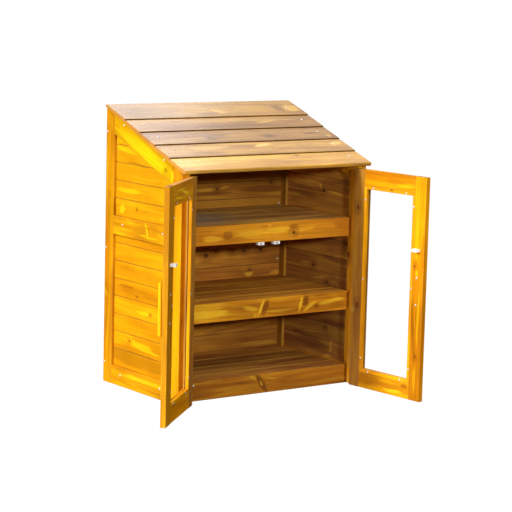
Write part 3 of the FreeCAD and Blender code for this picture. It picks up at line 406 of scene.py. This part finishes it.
# Growth, in metres. A scattered knot's size and its rags are shares of a cell or a knot.
TRUNK_LENGTH = 9.0
PITH_WANDER = 0.05
RINGS_PER_METRE = 105.0
SLOW_YEARS_EXTRA = 50.0
RING_BEND = 0.018
TINT_DRIFT = 0.012
KNOT_STRETCH = 1.35
KNOT_RAGS = 22.0
SCATTERED_KNOT = 0.053
CELLS_PER_METRE = (8.5, 8.5, 5.5)

# Radius of the arrises and depth of the raised grain, and a reach that has no end
ARRIS = 0.0016
RELIEF = 0.0006
FAR = 1000.0


class Timber(Shader):
    """Stained softwood on one CAD node, which wood() takes through the steps below."""

    def __init__(self, node, grain, layout, look, plane):
        super().__init__(f"{node}_wood")
        self.node = node
        self.grain = grain
        self.look = look
        self.plane = plane or FACES[grain]
        self.hidden = next(axis for axis in AXES if axis not in self.plane)
        rotation, shift = layout
        coordinates = self.add("ShaderNodeTexCoord")
        self.own = coordinates.outputs["Object"]
        facing = coordinates.outputs["Normal"]
        if any(rotation):
            self.own = self.mapping(self.own, location=shift, rotation=rotation)
            facing = self.mapping(facing, rotation=rotation)
        self.facing = self.by_axis(facing)
        self.places = self.by_axis(self.own)
        low, high = box_in(node, layout)
        self.middle = dict(zip(AXES, (low + high) / 2))
        self.half = dict(zip(AXES, (high - low) / 2))
        self.joint = None
        self.darkening = []

    def turn_at_mitres(self):
        """Beads run along X at the top and bottom, and along Z at the sides."""
        inside_x, inside_z = [
            self.math("SUBTRACT", self.half[axis], self.gap(self.places[axis], self.middle[axis]))
            for axis in "XZ"]
        lying = self.math("LESS_THAN", inside_z, inside_x)
        x, y, z = self.places.values()
        self.places = self.by_axis(self.mix(lying, self.join(x, y, z), self.join(z, y, x)))
        self.darkening.append(self.fall(self.gap(inside_x, inside_z), 0.0002, 0.0012, 0.55))
        self.darkening.append(self.fall(self.math("MINIMUM", inside_x, inside_z), 0.0005, 0.0016, 0.7))

    def lay_boards(self, pitch, seed):
        """Each board comes from its own place in a trunk. The pith lies off it, and the rings wander."""
        board = 0.0
        local = {}
        for axis in AXES.replace(self.grain, ""):
            if pitch and pitch[0] == axis:
                _, origin, cover = pitch
                steps = self.math("DIVIDE", self.math("SUBTRACT", self.places[axis], origin), cover)
                board = self.math("FLOOR", steps)
                share = self.math("SUBTRACT", self.math("FRACT", steps), 0.5)
                local[axis] = self.times(share, cover)
                self.joint = self.math("SUBTRACT", cover / 2, self.math("ABSOLUTE", local[axis]))
            else:
                local[axis] = self.math("SUBTRACT", self.places[axis], self.middle[axis])
        chance = self.add("ShaderNodeTexWhiteNoise", noise_dimensions="1D")
        self.feed(chance.inputs["W"], self.plus(board, seed * 1.37 + 0.5))
        self.lot = chance.outputs["Value"]
        lots = self.split(chance.outputs["Color"])
        run = self.plus(self.places[self.grain], self.times(lots[2], TRUNK_LENGTH))
        path = self.join(self.times(run, 1.5), self.times(board, 3.7), seed)
        wander = self.split(self.noise(path, detail=2.0, colour=True))
        first, second = local.values()
        self.across = self.off_pith(first, wander[0], lots[0], spread=0.09, least=-0.07)
        self.deep = self.off_pith(second, wander[1], lots[1], spread=0.07, least=0.005)
        self.trunk = self.join(self.across, self.deep, run)

    def off_pith(self, place, wander, lot, spread, least):
        """Where a place lies from the pith along one axis."""
        pith = self.math("MULTIPLY_ADD", lot, spread, least)
        return self.plus(place, self.math("MULTIPLY_ADD", wander, PITH_WANDER, pith))

    def in_trunk(self, across, along, **settings):
        """Noise in the trunk, so many cycles a metre across the grain and along it."""
        return self.noise(self.mapping(self.trunk, scale=(across, across, along)), **settings)

    def ellipse(self, source, place, reach, size=1.0, tilt=0.0):
        """Distance from a place on the face, where 1 is the edge of an ellipse of that reach."""
        centre = dict(zip(self.plane, place))
        turn = [0.0, 0.0, 0.0]
        # A positive tilt turns the first axis of the face towards the second
        turn[AXES.index(self.hidden)] = math.radians(tilt) * (-1 if self.plane == "XZ" else 1)
        spans = self.mapping(source, location=[centre.get(axis, 0.0) for axis in AXES], rotation=turn,
                             scale=[reach.get(axis, FAR) * size for axis in AXES], kind="TEXTURE")
        return self.vector("LENGTH", spans, output="Value")

    def grow_knots(self):
        """The listed knots, or scattered ones in a coarse cell pattern on a piece without a list."""
        self.fibre = self.in_trunk(330, 9, detail=2.0, roughness=0.6)
        ragged = self.remap(self.fibre, 0.3, 0.7, -0.012, 0.012)
        if self.node not in KNOTS and self.node not in TINTS:
            size = SCATTERED_KNOT
            cells = self.add("ShaderNodeTexVoronoi", feature="F1")
            self.link(self.mapping(self.trunk, scale=CELLS_PER_METRE), cells.inputs["Vector"])
            cells.inputs["Scale"].default_value = 1.0
            reach = self.plus(cells.outputs["Distance"], ragged)
            self.core = self.fall(reach, size * 0.75, size * 1.2)
            self.halo = self.fall(reach, size * 1.1, size * 4.0)
            return
        self.core = self.halo = 0.0
        for u, v, radius in KNOTS.get(self.node, ()):
            stretch = {axis: KNOT_STRETCH if axis == self.grain else 1.0 for axis in self.plane}
            reach = self.plus(self.ellipse(self.own, (u, v), stretch, size=radius),
                              self.times(ragged, KNOT_RAGS))
            self.core = self.math("MAXIMUM", self.core, self.fall(reach, 0.6, 1.2))
            self.halo = self.math("MAXIMUM", self.halo, self.fall(reach, 1.0, 4.5))

    def grow_rings(self):
        """Growth rings that bend round the knots, and the coarser patterns along them."""
        radius = self.math("SQRT", self.plus(self.times(self.across, self.across),
                                             self.times(self.deep, self.deep)))
        radius = self.math("MULTIPLY_ADD", self.halo, RING_BEND, radius)
        slowness = self.in_trunk(14, 0.7, detail=1.0)
        pace = self.math("MULTIPLY_ADD", slowness, SLOW_YEARS_EXTRA, RINGS_PER_METRE)
        rings = self.math("FRACT", self.times(radius, pace))
        self.late = self.times(self.rise(rings, 0.2, 0.86), self.fall(rings, 0.9, 1.0))
        self.heart = self.in_trunk(16, 1.5, detail=2.0, roughness=0.5, distortion=0.7)
        self.bands = self.in_trunk(48, 3.2, detail=2.0, roughness=0.5, distortion=0.9)
        self.lines = self.in_trunk(130, 5, roughness=0.6)

    def lay(self, amount, hue):
        """Lays a hue over the colour so far."""
        self.colour = self.mix(amount, self.colour, hue)

    def colour_grain(self, streak, sap):
        """Bands of light, dark and sap wood, before the listed tints."""
        look = self.look
        self.colour = self.mix(self.rise(self.heart, 0.38, 0.56), look["light"], look["base"])
        for pattern, start, end, strength, hue in (
                (self.heart, 0.54, 0.72, streak, "dark"),
                (self.bands, 0.54, 0.72, streak * 0.75, "dark"),
                (self.bands, 0.44, 0.28, sap, "sap")):
            self.lay(self.times(self.rise(pattern, start, end), strength), look[hue])

    def colour_tints(self):
        """The listed swirls and streaks, a few of them painted light, with ragged edges that flow with
        the grain.
        """
        flow = self.noise(self.mapping(self.own, scale=(9, 9, 9)), detail=2.0, roughness=0.5, colour=True)
        flow = self.vector("SUBTRACT", flow, (0.5, 0.5, 0.5))
        drifting = self.vector("MULTIPLY_ADD", flow, (TINT_DRIFT,) * 3, self.own)
        ragged = self.plus(self.remap(self.bands, 0.25, 0.75, -0.3, 0.3),
                           self.remap(self.lines, 0.25, 0.75, -0.25, 0.25))
        brown = tuple(0.55 * a + 0.45 * b for a, b in zip(self.look["base"], self.look["dark"]))
        hues = dict(self.look, brown=brown)
        for u, v, length_u, length_v, tilt, hue, strength in TINTS[self.node]:
            reach = dict(zip(self.plane, (length_u, length_v)))
            near = self.plus(self.ellipse(drifting, (u, v), reach, tilt=tilt), ragged)
            self.lay(self.times(self.fall(near, 0.6, 1.15), strength), hues.get(hue, hue))

    def colour_rings(self, streak):
        """Dark late wood, fine lines, open fibres and the wood round the knots."""
        dark = self.look["dark"]
        self.lay(self.times(self.late, 0.28 * streak), dark)
        self.lay(self.math("MULTIPLY", self.remap(self.lines, 0.52, 0.8), 0.4 * streak, clamp=True), dark)
        self.lay(self.remap(self.fibre, 0.5, 0.85, 0.0, 0.18), dark)
        self.lay(self.times(self.rise(self.halo, 0.15, 0.75), 0.38), dark)

    def stain(self, spread, outer_side):
        """The stain, stronger on some boards and patches, with painted light in the listed factors.

        The side outdoors gets its own factor, which on boards of the inside look takes their painted
        shade back off.
        """
        blotch = self.noise(self.own, 7.0)
        shade = self.times(self.remap(self.lot, 0.0, 1.0, 1.0 - spread, 1.0 + spread * 0.4),
                           self.remap(blotch, 0.3, 0.7, 0.9, 1.08))
        stain = STAIN_AND_PAINTED_LIGHT.get(self.node, EVEN_STAIN)
        if outer_side:
            side, outer_factor = outer_side
            sign = -1 if side[0] == "-" else 1
            outwards = self.remap(self.facing[side[-1]], 0.3 * sign, 0.7 * sign)
            stain = self.mix(outwards, stain, outer_factor)
        self.colour = self.vector("MULTIPLY", self.vector("MULTIPLY", self.colour, shade), stain)
        self.lay(self.times(self.core, 0.8), self.look["knot"])

    def wear(self, glint):
        """Thin stain and a painted highlight on the arrises, and a painted highlight on the joints' lips.
        """
        self.rounded, turned = self.arris(ARRIS)
        arris_wear_and_highlight = self.times(self.remap(turned, 0.01, 0.2, 0.0, 0.7), self.remap(self.lines, 0.3, 0.55))
        self.lay(arris_wear_and_highlight, self.mix(0.5, self.colour, WORN_ARRIS_AND_HIGHLIGHT))
        if glint:
            lip_highlight = self.times(self.rise(self.joint, 0.0016, 0.0022),
                             self.remap(self.joint, 0.0034, 0.0042, glint, 0.0))
            self.lay(lip_highlight, self.look["sap"])

    def darken(self, grime, shoulders, lapped, pale_ends, plain_ends):
        """Dirt in joints and at shoulders, darker faces down the slope on lapped boards, and end grain
        that took up more stain.
        """
        if self.joint:
            self.darkening.append(self.fall(self.joint, 0.0006, 0.0024, grime))
        for shoulder in shoulders:
            gap = self.gap(self.places[self.grain], shoulder)
            self.darkening.append(self.fall(gap, 0.0004, 0.0016, 0.6))
        # Lapped boards are darker on their faces that look down the slope, which are the steps under the
        # laps.
        if lapped:
            self.darkening.append(self.remap(self.facing["Y"], -0.5, -0.8, 0.0, 0.85))
        end = self.math("ABSOLUTE", self.facing[self.grain])
        if pale_ends:
            self.lay(self.remap(end, 0.8, 0.95, 0.0, 0.75), SAWN_END)
        elif not plain_ends:
            self.darkening.append(self.remap(end, 0.8, 0.95, 0.0, 0.5))
        if self.darkening:
            darkened = self.darkening[0]
            for amount in self.darkening[1:]:
                darkened = self.math("MAXIMUM", darkened, amount)
            self.lay(darkened, tuple(value * 0.3 for value in self.look["dark"]))

    def varnish(self, gloss, roughness):
        """The surface: raised late wood and fibres, sunken knots, and a thin gloss."""
        shader = self.add("ShaderNodeBsdfPrincipled")
        self.link(self.colour, shader.inputs["Base Color"])
        matt = self.plus(self.fibre, self.times(self.core, 0.3))
        self.link(self.remap(matt, 0.3, 1.0, roughness - 0.06, roughness + 0.16),
                  shader.inputs["Roughness"])
        shader.inputs["Specular IOR Level"].default_value = gloss
        relief = self.plus(self.times(self.late, 0.5), self.times(self.fibre, 0.6))
        relief = self.math("SUBTRACT", relief, self.times(self.core, 0.5))
        self.link(self.bump(relief, 0.35, RELIEF, self.rounded), shader.inputs["Normal"])
        dress(self.node, self.finish(shader))


def wood(node, grain, layout=UPRIGHT, seed=0.0, pitch=None, plane=None, look=GOLD, streak=0.5, sap=0.4,
         spread=0.3, outer_side=None, glint=0.0, grime=0.6, shoulders=(), mitred=False, lapped=False,
         pale_ends=False, gloss=0.06, roughness=0.5):
    """Stained softwood on a CAD node.

    grain is the axis along the fibres in the layout. pitch is (axis, origin, cover) for a node of
    several boards, and spread how far their shades differ. plane names the axes of the face with
    the figure. streak and sap are the strengths of dark bands and sap wood. weather is the side
    that faces outdoors and a factor on it; on boards of the inside look it takes their painted
    shade back off. glint is a painted highlight along the joints' lips, and grime how dirty the
    joints are. shoulders are places along the grain where the piece meets another.
    """
    timber = Timber(node, grain, layout, look, plane)
    if mitred:
        timber.turn_at_mitres()
    timber.lay_boards(pitch, seed)
    timber.grow_knots()
    timber.grow_rings()
    timber.colour_grain(streak, sap)
    if node in TINTS:
        timber.colour_tints()
    timber.colour_rings(streak)
    # Stain, with painted light in the listed factors; boards of the inside look keep their painted shade
    # on the inner side only
    timber.stain(spread, outer_side)
    # Wear and a painted highlight on the arrises, and painted highlights on the joints' lips
    timber.wear(glint)
    timber.darken(grime, shoulders, lapped, pale_ends, plain_ends=mitred)
    timber.varnish(gloss, roughness)


# Other materials

def metal(name, colour, roughness, metallic=0.85):
    """Plated steel with faint cloudy wear."""
    s = Shader(name)
    coordinates = s.add("ShaderNodeTexCoord").outputs["Object"]
    cloud = s.noise(coordinates, 240.0)
    shader = s.add("ShaderNodeBsdfPrincipled")
    worn = tuple(value * 0.72 for value in colour)
    s.link(s.mix(s.remap(cloud, 0.35, 0.65), colour, worn), shader.inputs["Base Color"])
    s.link(s.remap(cloud, 0.3, 0.7, roughness - 0.08, roughness + 0.12), shader.inputs["Roughness"])
    shader.inputs["Metallic"].default_value = metallic
    s.link(s.bump(cloud, 0.15, 0.0003), shader.inputs["Normal"])
    return s.finish(shader)


def plastic(name, colour):
    """Moulded plastic with a fine texture and slight yellowing."""
    s = Shader(name)
    coordinates = s.add("ShaderNodeTexCoord").outputs["Object"]
    texture = s.noise(coordinates, 900.0, 2.0)
    aged = s.noise(coordinates, 60.0, 2.0)
    shader = s.add("ShaderNodeBsdfPrincipled")
    yellowed = (colour[0] * 0.98, colour[1] * 0.97, colour[2] * 0.92)
    s.link(s.mix(s.remap(aged, 0.35, 0.7), colour, yellowed), shader.inputs["Base Color"])
    s.link(s.remap(texture, 0.3, 0.7, 0.36, 0.5), shader.inputs["Roughness"])
    s.link(s.bump(texture, 0.12, 0.0001), shader.inputs["Normal"])
    return s.finish(shader)


def clear_sheet(name):
    """Thin clear acrylic: mostly see-through, with a gloss that grows at low angles."""
    s = Shader(name)
    coordinates = s.add("ShaderNodeTexCoord").outputs["Object"]
    smear = s.noise(s.mapping(coordinates, scale=(3, 3, 1.2)), 4.0)
    through = s.add("ShaderNodeBsdfTransparent")
    s.link(s.mix(s.remap(smear, 0.35, 0.7), (1.0, 1.0, 1.0), (0.996, 0.997, 0.996)),
           through.inputs["Color"])
    gloss = s.add("ShaderNodeBsdfGlossy")
    s.link(s.remap(smear, 0.3, 0.7, 0.04, 0.1), gloss.inputs["Roughness"])
    facing = s.add("ShaderNodeLayerWeight")
    facing.inputs["Blend"].default_value = 0.5
    grazing = s.math("POWER", facing.outputs["Facing"], 4.0)
    sheen = s.add("ShaderNodeMixShader")
    s.link(s.math("MULTIPLY_ADD", grazing, 0.12, 0.006), sheen.inputs[0])
    s.link(through.outputs[0], sheen.inputs[1])
    s.link(gloss.outputs[0], sheen.inputs[2])
    return s.finish(sheen)


# Where rows of boards start and how wide each one shows. A pair of cleats counts as two boards.

BOARD_COVER = 0.064
SHELF_COVER = 0.115
PAIR = ("X", -0.4, 0.4)
SHELF_PITCH = ("Y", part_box("floor_boards")[1].y - 4 * SHELF_COVER, SHELF_COVER)
BACK_PITCH = ("Z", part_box("back_boards")[0].z, BOARD_COVER)
WALL_STARTS = {"lower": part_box("left_bottom_rail")[1].z, "upper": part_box("left_middle_rail")[1].z}


# Carcass timbers

def side_frame(side, seeds):
    """One side wall's stiles and rails, with a seed for each."""
    wood(f"{side}_front_stile", "Z", seed=seeds[0], plane="YZ")
    wood(f"{side}_back_stile", "Z", seed=seeds[1], plane="YZ")
    wood(f"{side}_bottom_rail", "Y", seed=seeds[2], shoulders=SIDE_SHOULDERS)
    wood(f"{side}_middle_rail", "Y", seed=seeds[3], shoulders=SIDE_SHOULDERS)
    wood(f"{side}_top_rail", "Y", sloping(), seed=seeds[4], shoulders=SLOPING_SHOULDERS,
         streak=0.2, sap=0.2)


side_frame("left", (3.1, 7.3, 11.9, 13.4, 17.2))
side_frame("right", (4.1, 8.3, 12.9, 14.4, 18.2))
for level, left_seed, right_seed in (("lower", 22.584, 25.584), ("upper", 43.332, 46.332)):
    wall_pitch = ("Z", WALL_STARTS[level], BOARD_COVER)
    wood(f"left_{level}_boards", "Y", seed=left_seed, pitch=wall_pitch, look=WALL, streak=0.32,
         sap=0.28, spread=0.07, grime=0.5)
    # The right boards take the inside look, which paints shade on them; their outer side is brought back
    # to the wall's tone.
    wood(f"right_{level}_boards", "Y", seed=right_seed, pitch=wall_pitch, look=SHADED_INSIDE, streak=0.75,
         spread=0.16, grime=0.32, outer_side=("X", OUTER_SIDE_UNSHADED))
# The back boards take the inside look too, with painted shade inside and the wall's tone outside.
wood("back_boards", "X", seed=60, pitch=BACK_PITCH, spread=0.28, look=SHADED_INSIDE, streak=0.62,
     outer_side=("Y", OUTER_SIDE_UNSHADED))
wood("back_battens", "Z", seed=80, pitch=PAIR)
for index, level in enumerate(("floor", "lower_shelf", "upper_shelf")):
    wood(f"{level}_fascia", "X", seed=90.3 + index * 3, look=FASCIA, streak=0.65)
    # The shelf boards take the inside look, which paints shade on them.
    wood(f"{level}_boards", "X", seed=100 + index * 9, pitch=SHELF_PITCH, spread=0.25,
         look=SHADED_INSIDE, plane="XY", glint=0.6, streak=0.75)
    wood(f"{level}_cleats", "Y", seed=130 + index * 3, pitch=PAIR)
wood("floor_bearer", "Y", seed=140)

# Roof
for index, place in enumerate(("front", "second", "middle", "fourth", "back")):
    wood(f"roof_board_{place}", "X", sloping(), seed=150.7 + index * 5, look=ROOF, gloss=0.5,
         roughness=0.26, spread=0.0, plane="XY", lapped=place != "front", pale_ends=True,
         streak=0.42, sap=0.3)
wood("roof_battens", "Y", sloping(), seed=180, pitch=PAIR)

# Doors
for door, door_seed in (("left_door", 200.3), ("right_door", 230.3)):
    beads_low, beads_high = box_in(f"{door}_beads", shut(door))
    for offset, part in enumerate(("hinge_stile", "meeting_stile", "handle")):
        wood(f"{door}_{part}", "Z", shut(door), seed=door_seed + offset * 3.7,
             outer_side=None if part == "handle" else ("-Y", DOOR_FRONT))
    for offset, part in enumerate(("bottom_rail", "top_rail")):
        wood(f"{door}_{part}", "X", shut(door), seed=door_seed + 12 + offset * 3.7,
             shoulders=(beads_low.x, beads_high.x))
    wood(f"{door}_beads", "Z", shut(door), seed=door_seed + 21, mitred=True)


# Screw heads: low domes with a cross recess, where the CAD has plain discs

def dome_shape():
    """A pan head of radius 1 and height 1 on the origin, Z outwards."""
    profile = ((0.0, 0.0), (1.0, 0.0), (1.0, 0.25), (0.93, 0.55), (0.74, 0.85), (0.42, 1.0), (0.0, 1.0))
    around = 20
    shape = bmesh.new()
    rings = []
    for reach, rise in profile:
        turns = [math.tau * i / around for i in range(around if reach else 1)]
        rings.append([shape.verts.new((reach * math.cos(a), reach * math.sin(a), rise)) for a in turns])
    for below, above in zip(rings, rings[1:]):
        for i in range(around):
            j = (i + 1) % around
            corners = (below[i % len(below)], below[j % len(below)],
                       above[j % len(above)], above[i % len(above)])
            shape.faces.new(list(dict.fromkeys(corners)))
    return shape


def cross_shape():
    """A tapered cross that cuts the recess: its height, and its arms' half width and length there."""
    shape = bmesh.new()
    ends = []
    for rise, half, arm in ((1.3, 0.15, 0.66), (0.35, 0.09, 0.36)):
        outline = ((half, half), (half, arm), (-half, arm), (-half, half), (-arm, half), (-arm, -half),
                   (-half, -half), (-half, -arm), (half, -arm), (half, -half), (arm, -half), (arm, half))
        ends.append([shape.verts.new((x, y, rise)) for x, y in outline])
    top, bottom = ends
    for i in range(len(top)):
        j = (i + 1) % len(top)
        shape.faces.new((top[i], top[j], bottom[j], bottom[i]))
    for end in ends:
        shape.faces.new(end)
    return shape


def as_object(name, shape):
    bmesh.ops.recalc_face_normals(shape, faces=shape.faces)
    mesh = bpy.data.meshes.new(name)
    shape.to_mesh(mesh)
    shape.free()
    thing = bpy.data.objects.new(name, mesh)
    bpy.context.collection.objects.link(thing)
    return thing


def head_mesh():
    """The dome with the cross cut out of it."""
    head = as_object("head", dome_shape())
    cross = as_object("cross", cross_shape())
    cut = head.modifiers.new("recess", "BOOLEAN")
    cut.operation = "DIFFERENCE"
    cut.solver = "EXACT"
    cut.object = cross
    finished = bpy.data.meshes.new_from_object(head.evaluated_get(bpy.context.evaluated_depsgraph_get()))
    for thing in (head, cross):
        bpy.data.objects.remove(thing)
    return finished


def connected_faces(start, done):
    """The faces of the solid that a face belongs to."""
    done.add(start)
    group, front = [start], [start]
    while front:
        for edge in front.pop().edges:
            for face in edge.link_faces:
                if face not in done:
                    done.add(face)
                    group.append(face)
                    front.append(face)
    return group


def disc_of(group):
    """A disc's centre, axis, radius and height. Its axis is the normal with the most area."""
    areas = {}
    for face in group:
        key = tuple(round(value, 2) for value in face.normal)
        areas.setdefault(key, [0.0, face.normal.copy()])[0] += face.calc_area()
    axis = max(areas.values(), key=lambda item: item[0])[1]
    points = {vertex.index: vertex.co.copy() for face in group for vertex in face.verts}.values()
    centre = sum(points, Vector()) / len(points)
    offsets = [point - centre for point in points]
    heights = [offset.dot(axis) for offset in offsets]
    radius = max((offset - axis * height).length for offset, height in zip(offsets, heights))
    return centre, axis, radius, max(heights) - min(heights)


def discs(node):
    """Each disc in a CAD node."""
    shape = bmesh.new()
    shape.from_mesh(NODES[node].data)
    bmesh.ops.remove_doubles(shape, verts=shape.verts, dist=0.00002)
    done = set()
    found = [disc_of(connected_faces(face, done)) for face in shape.faces if face not in done]
    shape.free()
    return found


def screw_heads(name, node, body, outward, template, chance):
    """Detailed heads in the places of the CAD's discs. outward tells which way each one faces."""
    vertices, faces = [], []
    for centre, axis, radius, height in discs(node):
        out = axis if outward(centre, axis, radius) else -axis
        spin = Matrix.Rotation(chance.uniform(0, math.tau), 4, "Z")
        turn = out.to_track_quat("Z", "Y").to_matrix().to_4x4()
        size = Matrix.Diagonal((radius, radius, height, 1))
        place = Matrix.Translation(centre - out * height / 2) @ turn @ spin @ size
        first = len(vertices)
        vertices += [place @ vertex.co for vertex in template.vertices]
        faces += [[first + i for i in polygon.vertices] for polygon in template.polygons]
    mesh = bpy.data.meshes.new(name)
    mesh.from_pydata(vertices, [], faces)
    mesh.polygons.foreach_set("use_smooth", [True] * len(faces))
    mesh.set_sharp_from_angle(angle=math.radians(35))
    mesh.materials.append(zinc)
    heads = bpy.data.objects.new(name, mesh)
    bpy.context.collection.objects.link(heads)
    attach(heads, body)
    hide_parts(node)


# Hardware. Only the hinges' screws are smaller than the radius named here.

SMALL_SCREW = 0.003
zinc = metal("bright_zinc", (0.80, 0.79, 0.76), 0.32, 0.45)
dull = metal("hinge_zinc", (0.55, 0.53, 0.48), 0.42)
plain_head = head_mesh()
head_turns = random.Random(11)


def frame_outward(centre, axis, radius):
    """Wall screws face away from the middle, hinge screws towards it and the others forward."""
    if abs(axis.x) < 0.5:
        return axis.y < 0
    return (axis.x * centre.x > 0) == (radius > SMALL_SCREW)


def roof_outward(centre, axis, radius):
    return axis.z > 0


def door_outward(door):
    """Screws face the inside of the door. Those of the hinge leaves face the wall beside it."""
    turn = Matrix.Rotation(opening(door), 3, "Z")
    inwards = turn @ Vector((0, 1, 0))
    sidewards = turn @ Vector((math.copysign(1, HINGES[door]["pos_m"][0]), 0, 0))
    return lambda centre, axis, radius: axis.dot(inwards if radius > SMALL_SCREW else sidewards) > 0


screw_heads("frame_screw_heads", "frame_screws", "cabinet", frame_outward, plain_head, head_turns)
screw_heads("roof_screw_heads", "roof_screws", "cabinet", roof_outward, plain_head, head_turns)
for door in ("left_door", "right_door"):
    screw_heads(f"{door}_screw_heads", f"{door}_screws", door, door_outward(door), plain_head, head_turns)
for node in ("wall_hinge_leaves", "hinge_pins", "left_door_hinge_leaves", "right_door_hinge_leaves"):
    dress(node, dull)
white = plastic("white_plastic", (0.95, 0.94, 0.92))
for node in ("catch_cases", "left_door_strike", "right_door_strike"):
    dress(node, white)
dress("catch_magnets", metal("magnet_plate", (0.55, 0.55, 0.56), 0.4, 0.3))
sheet = clear_sheet("clear_acrylic")
for node in ("left_door_pane", "right_door_pane"):
    dress(node, sheet)


# Stage: a pale floor and a plain white surround, which light nothing themselves

def camera_only(thing):
    """The stage is seen but sends no light back and blocks none."""
    for ray in ("diffuse", "glossy", "transmission", "shadow", "volume_scatter"):
        setattr(thing, f"visible_{ray}", False)


def plain_floor():
    """A round sheet just under the cabinet's feet, faintly mottled."""
    bpy.ops.mesh.primitive_circle_add(vertices=64, radius=28, fill_type="NGON", location=(0, 0, -0.0005))
    floor = bpy.context.object
    floor.name = "floor_sheet"
    s = Shader("pale_floor")
    coordinates = s.add("ShaderNodeTexCoord").outputs["Object"]
    mottle = s.noise(coordinates, 3.0, 2.0)
    glow = s.add("ShaderNodeEmission")
    s.link(s.mix(mottle, (1.0, 1.0, 1.0), (0.99, 0.99, 0.99)), glow.inputs["Color"])
    glow.inputs["Strength"].default_value = 1.05
    floor.data.materials.append(s.finish(glow))
    camera_only(floor)


def surround():
    """A white ball round everything, which is the plain background."""
    bpy.ops.mesh.primitive_uv_sphere_add(segments=48, ring_count=24, radius=30, location=(0, 0, 0))
    ball = bpy.context.object
    ball.name = "white_surround"
    s = Shader("white_surround")
    glow = s.add("ShaderNodeEmission")
    glow.inputs["Strength"].default_value = 1.06
    ball.data.materials.append(s.finish(glow))
    camera_only(ball)


plain_floor()
surround()


# Light: a soft key from the left, sky from the left, above and the front, and a fill behind

def studio_world(above, below):
    """A faint light from all round, with its strength above and below the horizon."""
    world = bpy.data.worlds.new("studio")
    world.use_nodes = True
    bpy.context.scene.world = world
    tree = world.node_tree
    coordinates = tree.nodes.new("ShaderNodeTexCoord")
    split = tree.nodes.new("ShaderNodeSeparateXYZ")
    tree.links.new(coordinates.outputs["Generated"], split.inputs[0])
    strength = tree.nodes.new("ShaderNodeMapRange")
    tree.links.new(split.outputs["Z"], strength.inputs[0])
    for index, value in enumerate((-0.08, 0.12, below, above), start=1):
        strength.inputs[index].default_value = value
    tree.links.new(strength.outputs[0], tree.nodes["Background"].inputs["Strength"])


def aimed_light(name, data, azimuth, elevation, distance, target=(0, 0, 0)):
    """A light that looks at its target. Azimuth 0 is in front of the cabinet and -90 on its left."""
    light = bpy.data.objects.new(name, data)
    bpy.context.collection.objects.link(light)
    a, e = math.radians(azimuth), math.radians(elevation)
    away = Vector((math.sin(a) * math.cos(e), -math.cos(a) * math.cos(e), math.sin(e)))
    light.location = Vector(target) + away * distance
    light.rotation_mode = "QUATERNION"
    light.rotation_quaternion = away.to_track_quat("Z", "Y")
    return light


def lamp(name, azimuth, elevation, energy, softness):
    """A distant light. The softness is its width in degrees."""
    data = bpy.data.lights.new(name, "SUN")
    data.energy = energy
    data.angle = math.radians(softness)
    return aimed_light(name, data, azimuth, elevation, distance=6)


def soft_box(name, azimuth, elevation, distance, size, energy, colour=(1, 1, 1), sheen_only=False):
    """A rectangular light. One for sheen only shows in glossy surfaces and lights nothing matt."""
    data = bpy.data.lights.new(name, "AREA")
    data.shape = "RECTANGLE"
    data.size, data.size_y = size
    data.energy = energy
    data.color = colour
    panel = aimed_light(name, data, azimuth, elevation, distance, target=(0, 0, back_high.z / 2))
    panel.visible_diffuse = not sheen_only
    panel.visible_camera = False


studio_world(0.03, 0.02)
lamp("key", -99, 27, 2.7, 8)
lamp("left_sky", -90, 30, 1.35, 40)
lamp("top_sky", -60, 78, 1.5, 40)
lamp("left_ground", -90, -25, 1.6, 40)
lamp("front_sky", -5, 40, 0.95, 60)
soft_box("front_lamp", -14, 12.9, 9.1, (0.6, 0.6), 400)
lamp("rear_fill", 150, 30, 0.75, 60)
lamp("rear_fill_matt", 150, 30, 0.75, 60).visible_glossy = False
soft_box("back_soft_box", 153, 39, 7.0, (2.8, 3.7), 84, (0.95, 0.97, 1.0), sheen_only=True)


# Camera, as fitted to the photograph

def fitted_camera(place, angles, lens, sensor):
    """Its place in metres, its yaw, downward tilt and roll in degrees, and its lens in millimetres."""
    yaw, tilt, roll = [math.radians(angle) for angle in angles]
    forward = Vector((math.sin(yaw) * math.cos(tilt), math.cos(yaw) * math.cos(tilt), -math.sin(tilt)))
    level_right = Vector((math.cos(yaw), -math.sin(yaw), 0))
    level_up = level_right.cross(forward)
    right = level_right * math.cos(roll) + level_up * math.sin(roll)
    up = level_up * math.cos(roll) - level_right * math.sin(roll)
    data = bpy.data.cameras.new("camera")
    data.lens = lens
    data.sensor_width = sensor
    data.clip_end = 100.0
    camera = bpy.data.objects.new("camera", data)
    bpy.context.collection.objects.link(camera)
    axes = Matrix((right, up, -forward)).transposed().to_4x4()
    camera.matrix_world = Matrix.Translation(place) @ axes
    bpy.context.scene.camera = camera


fitted_camera(place=(-4.1048, -5.8138, 1.5003), angles=(35.85, 8.25, 1.48), lens=139.09, sensor=36)
bpy.context.scene.view_settings.view_transform = "Standard"
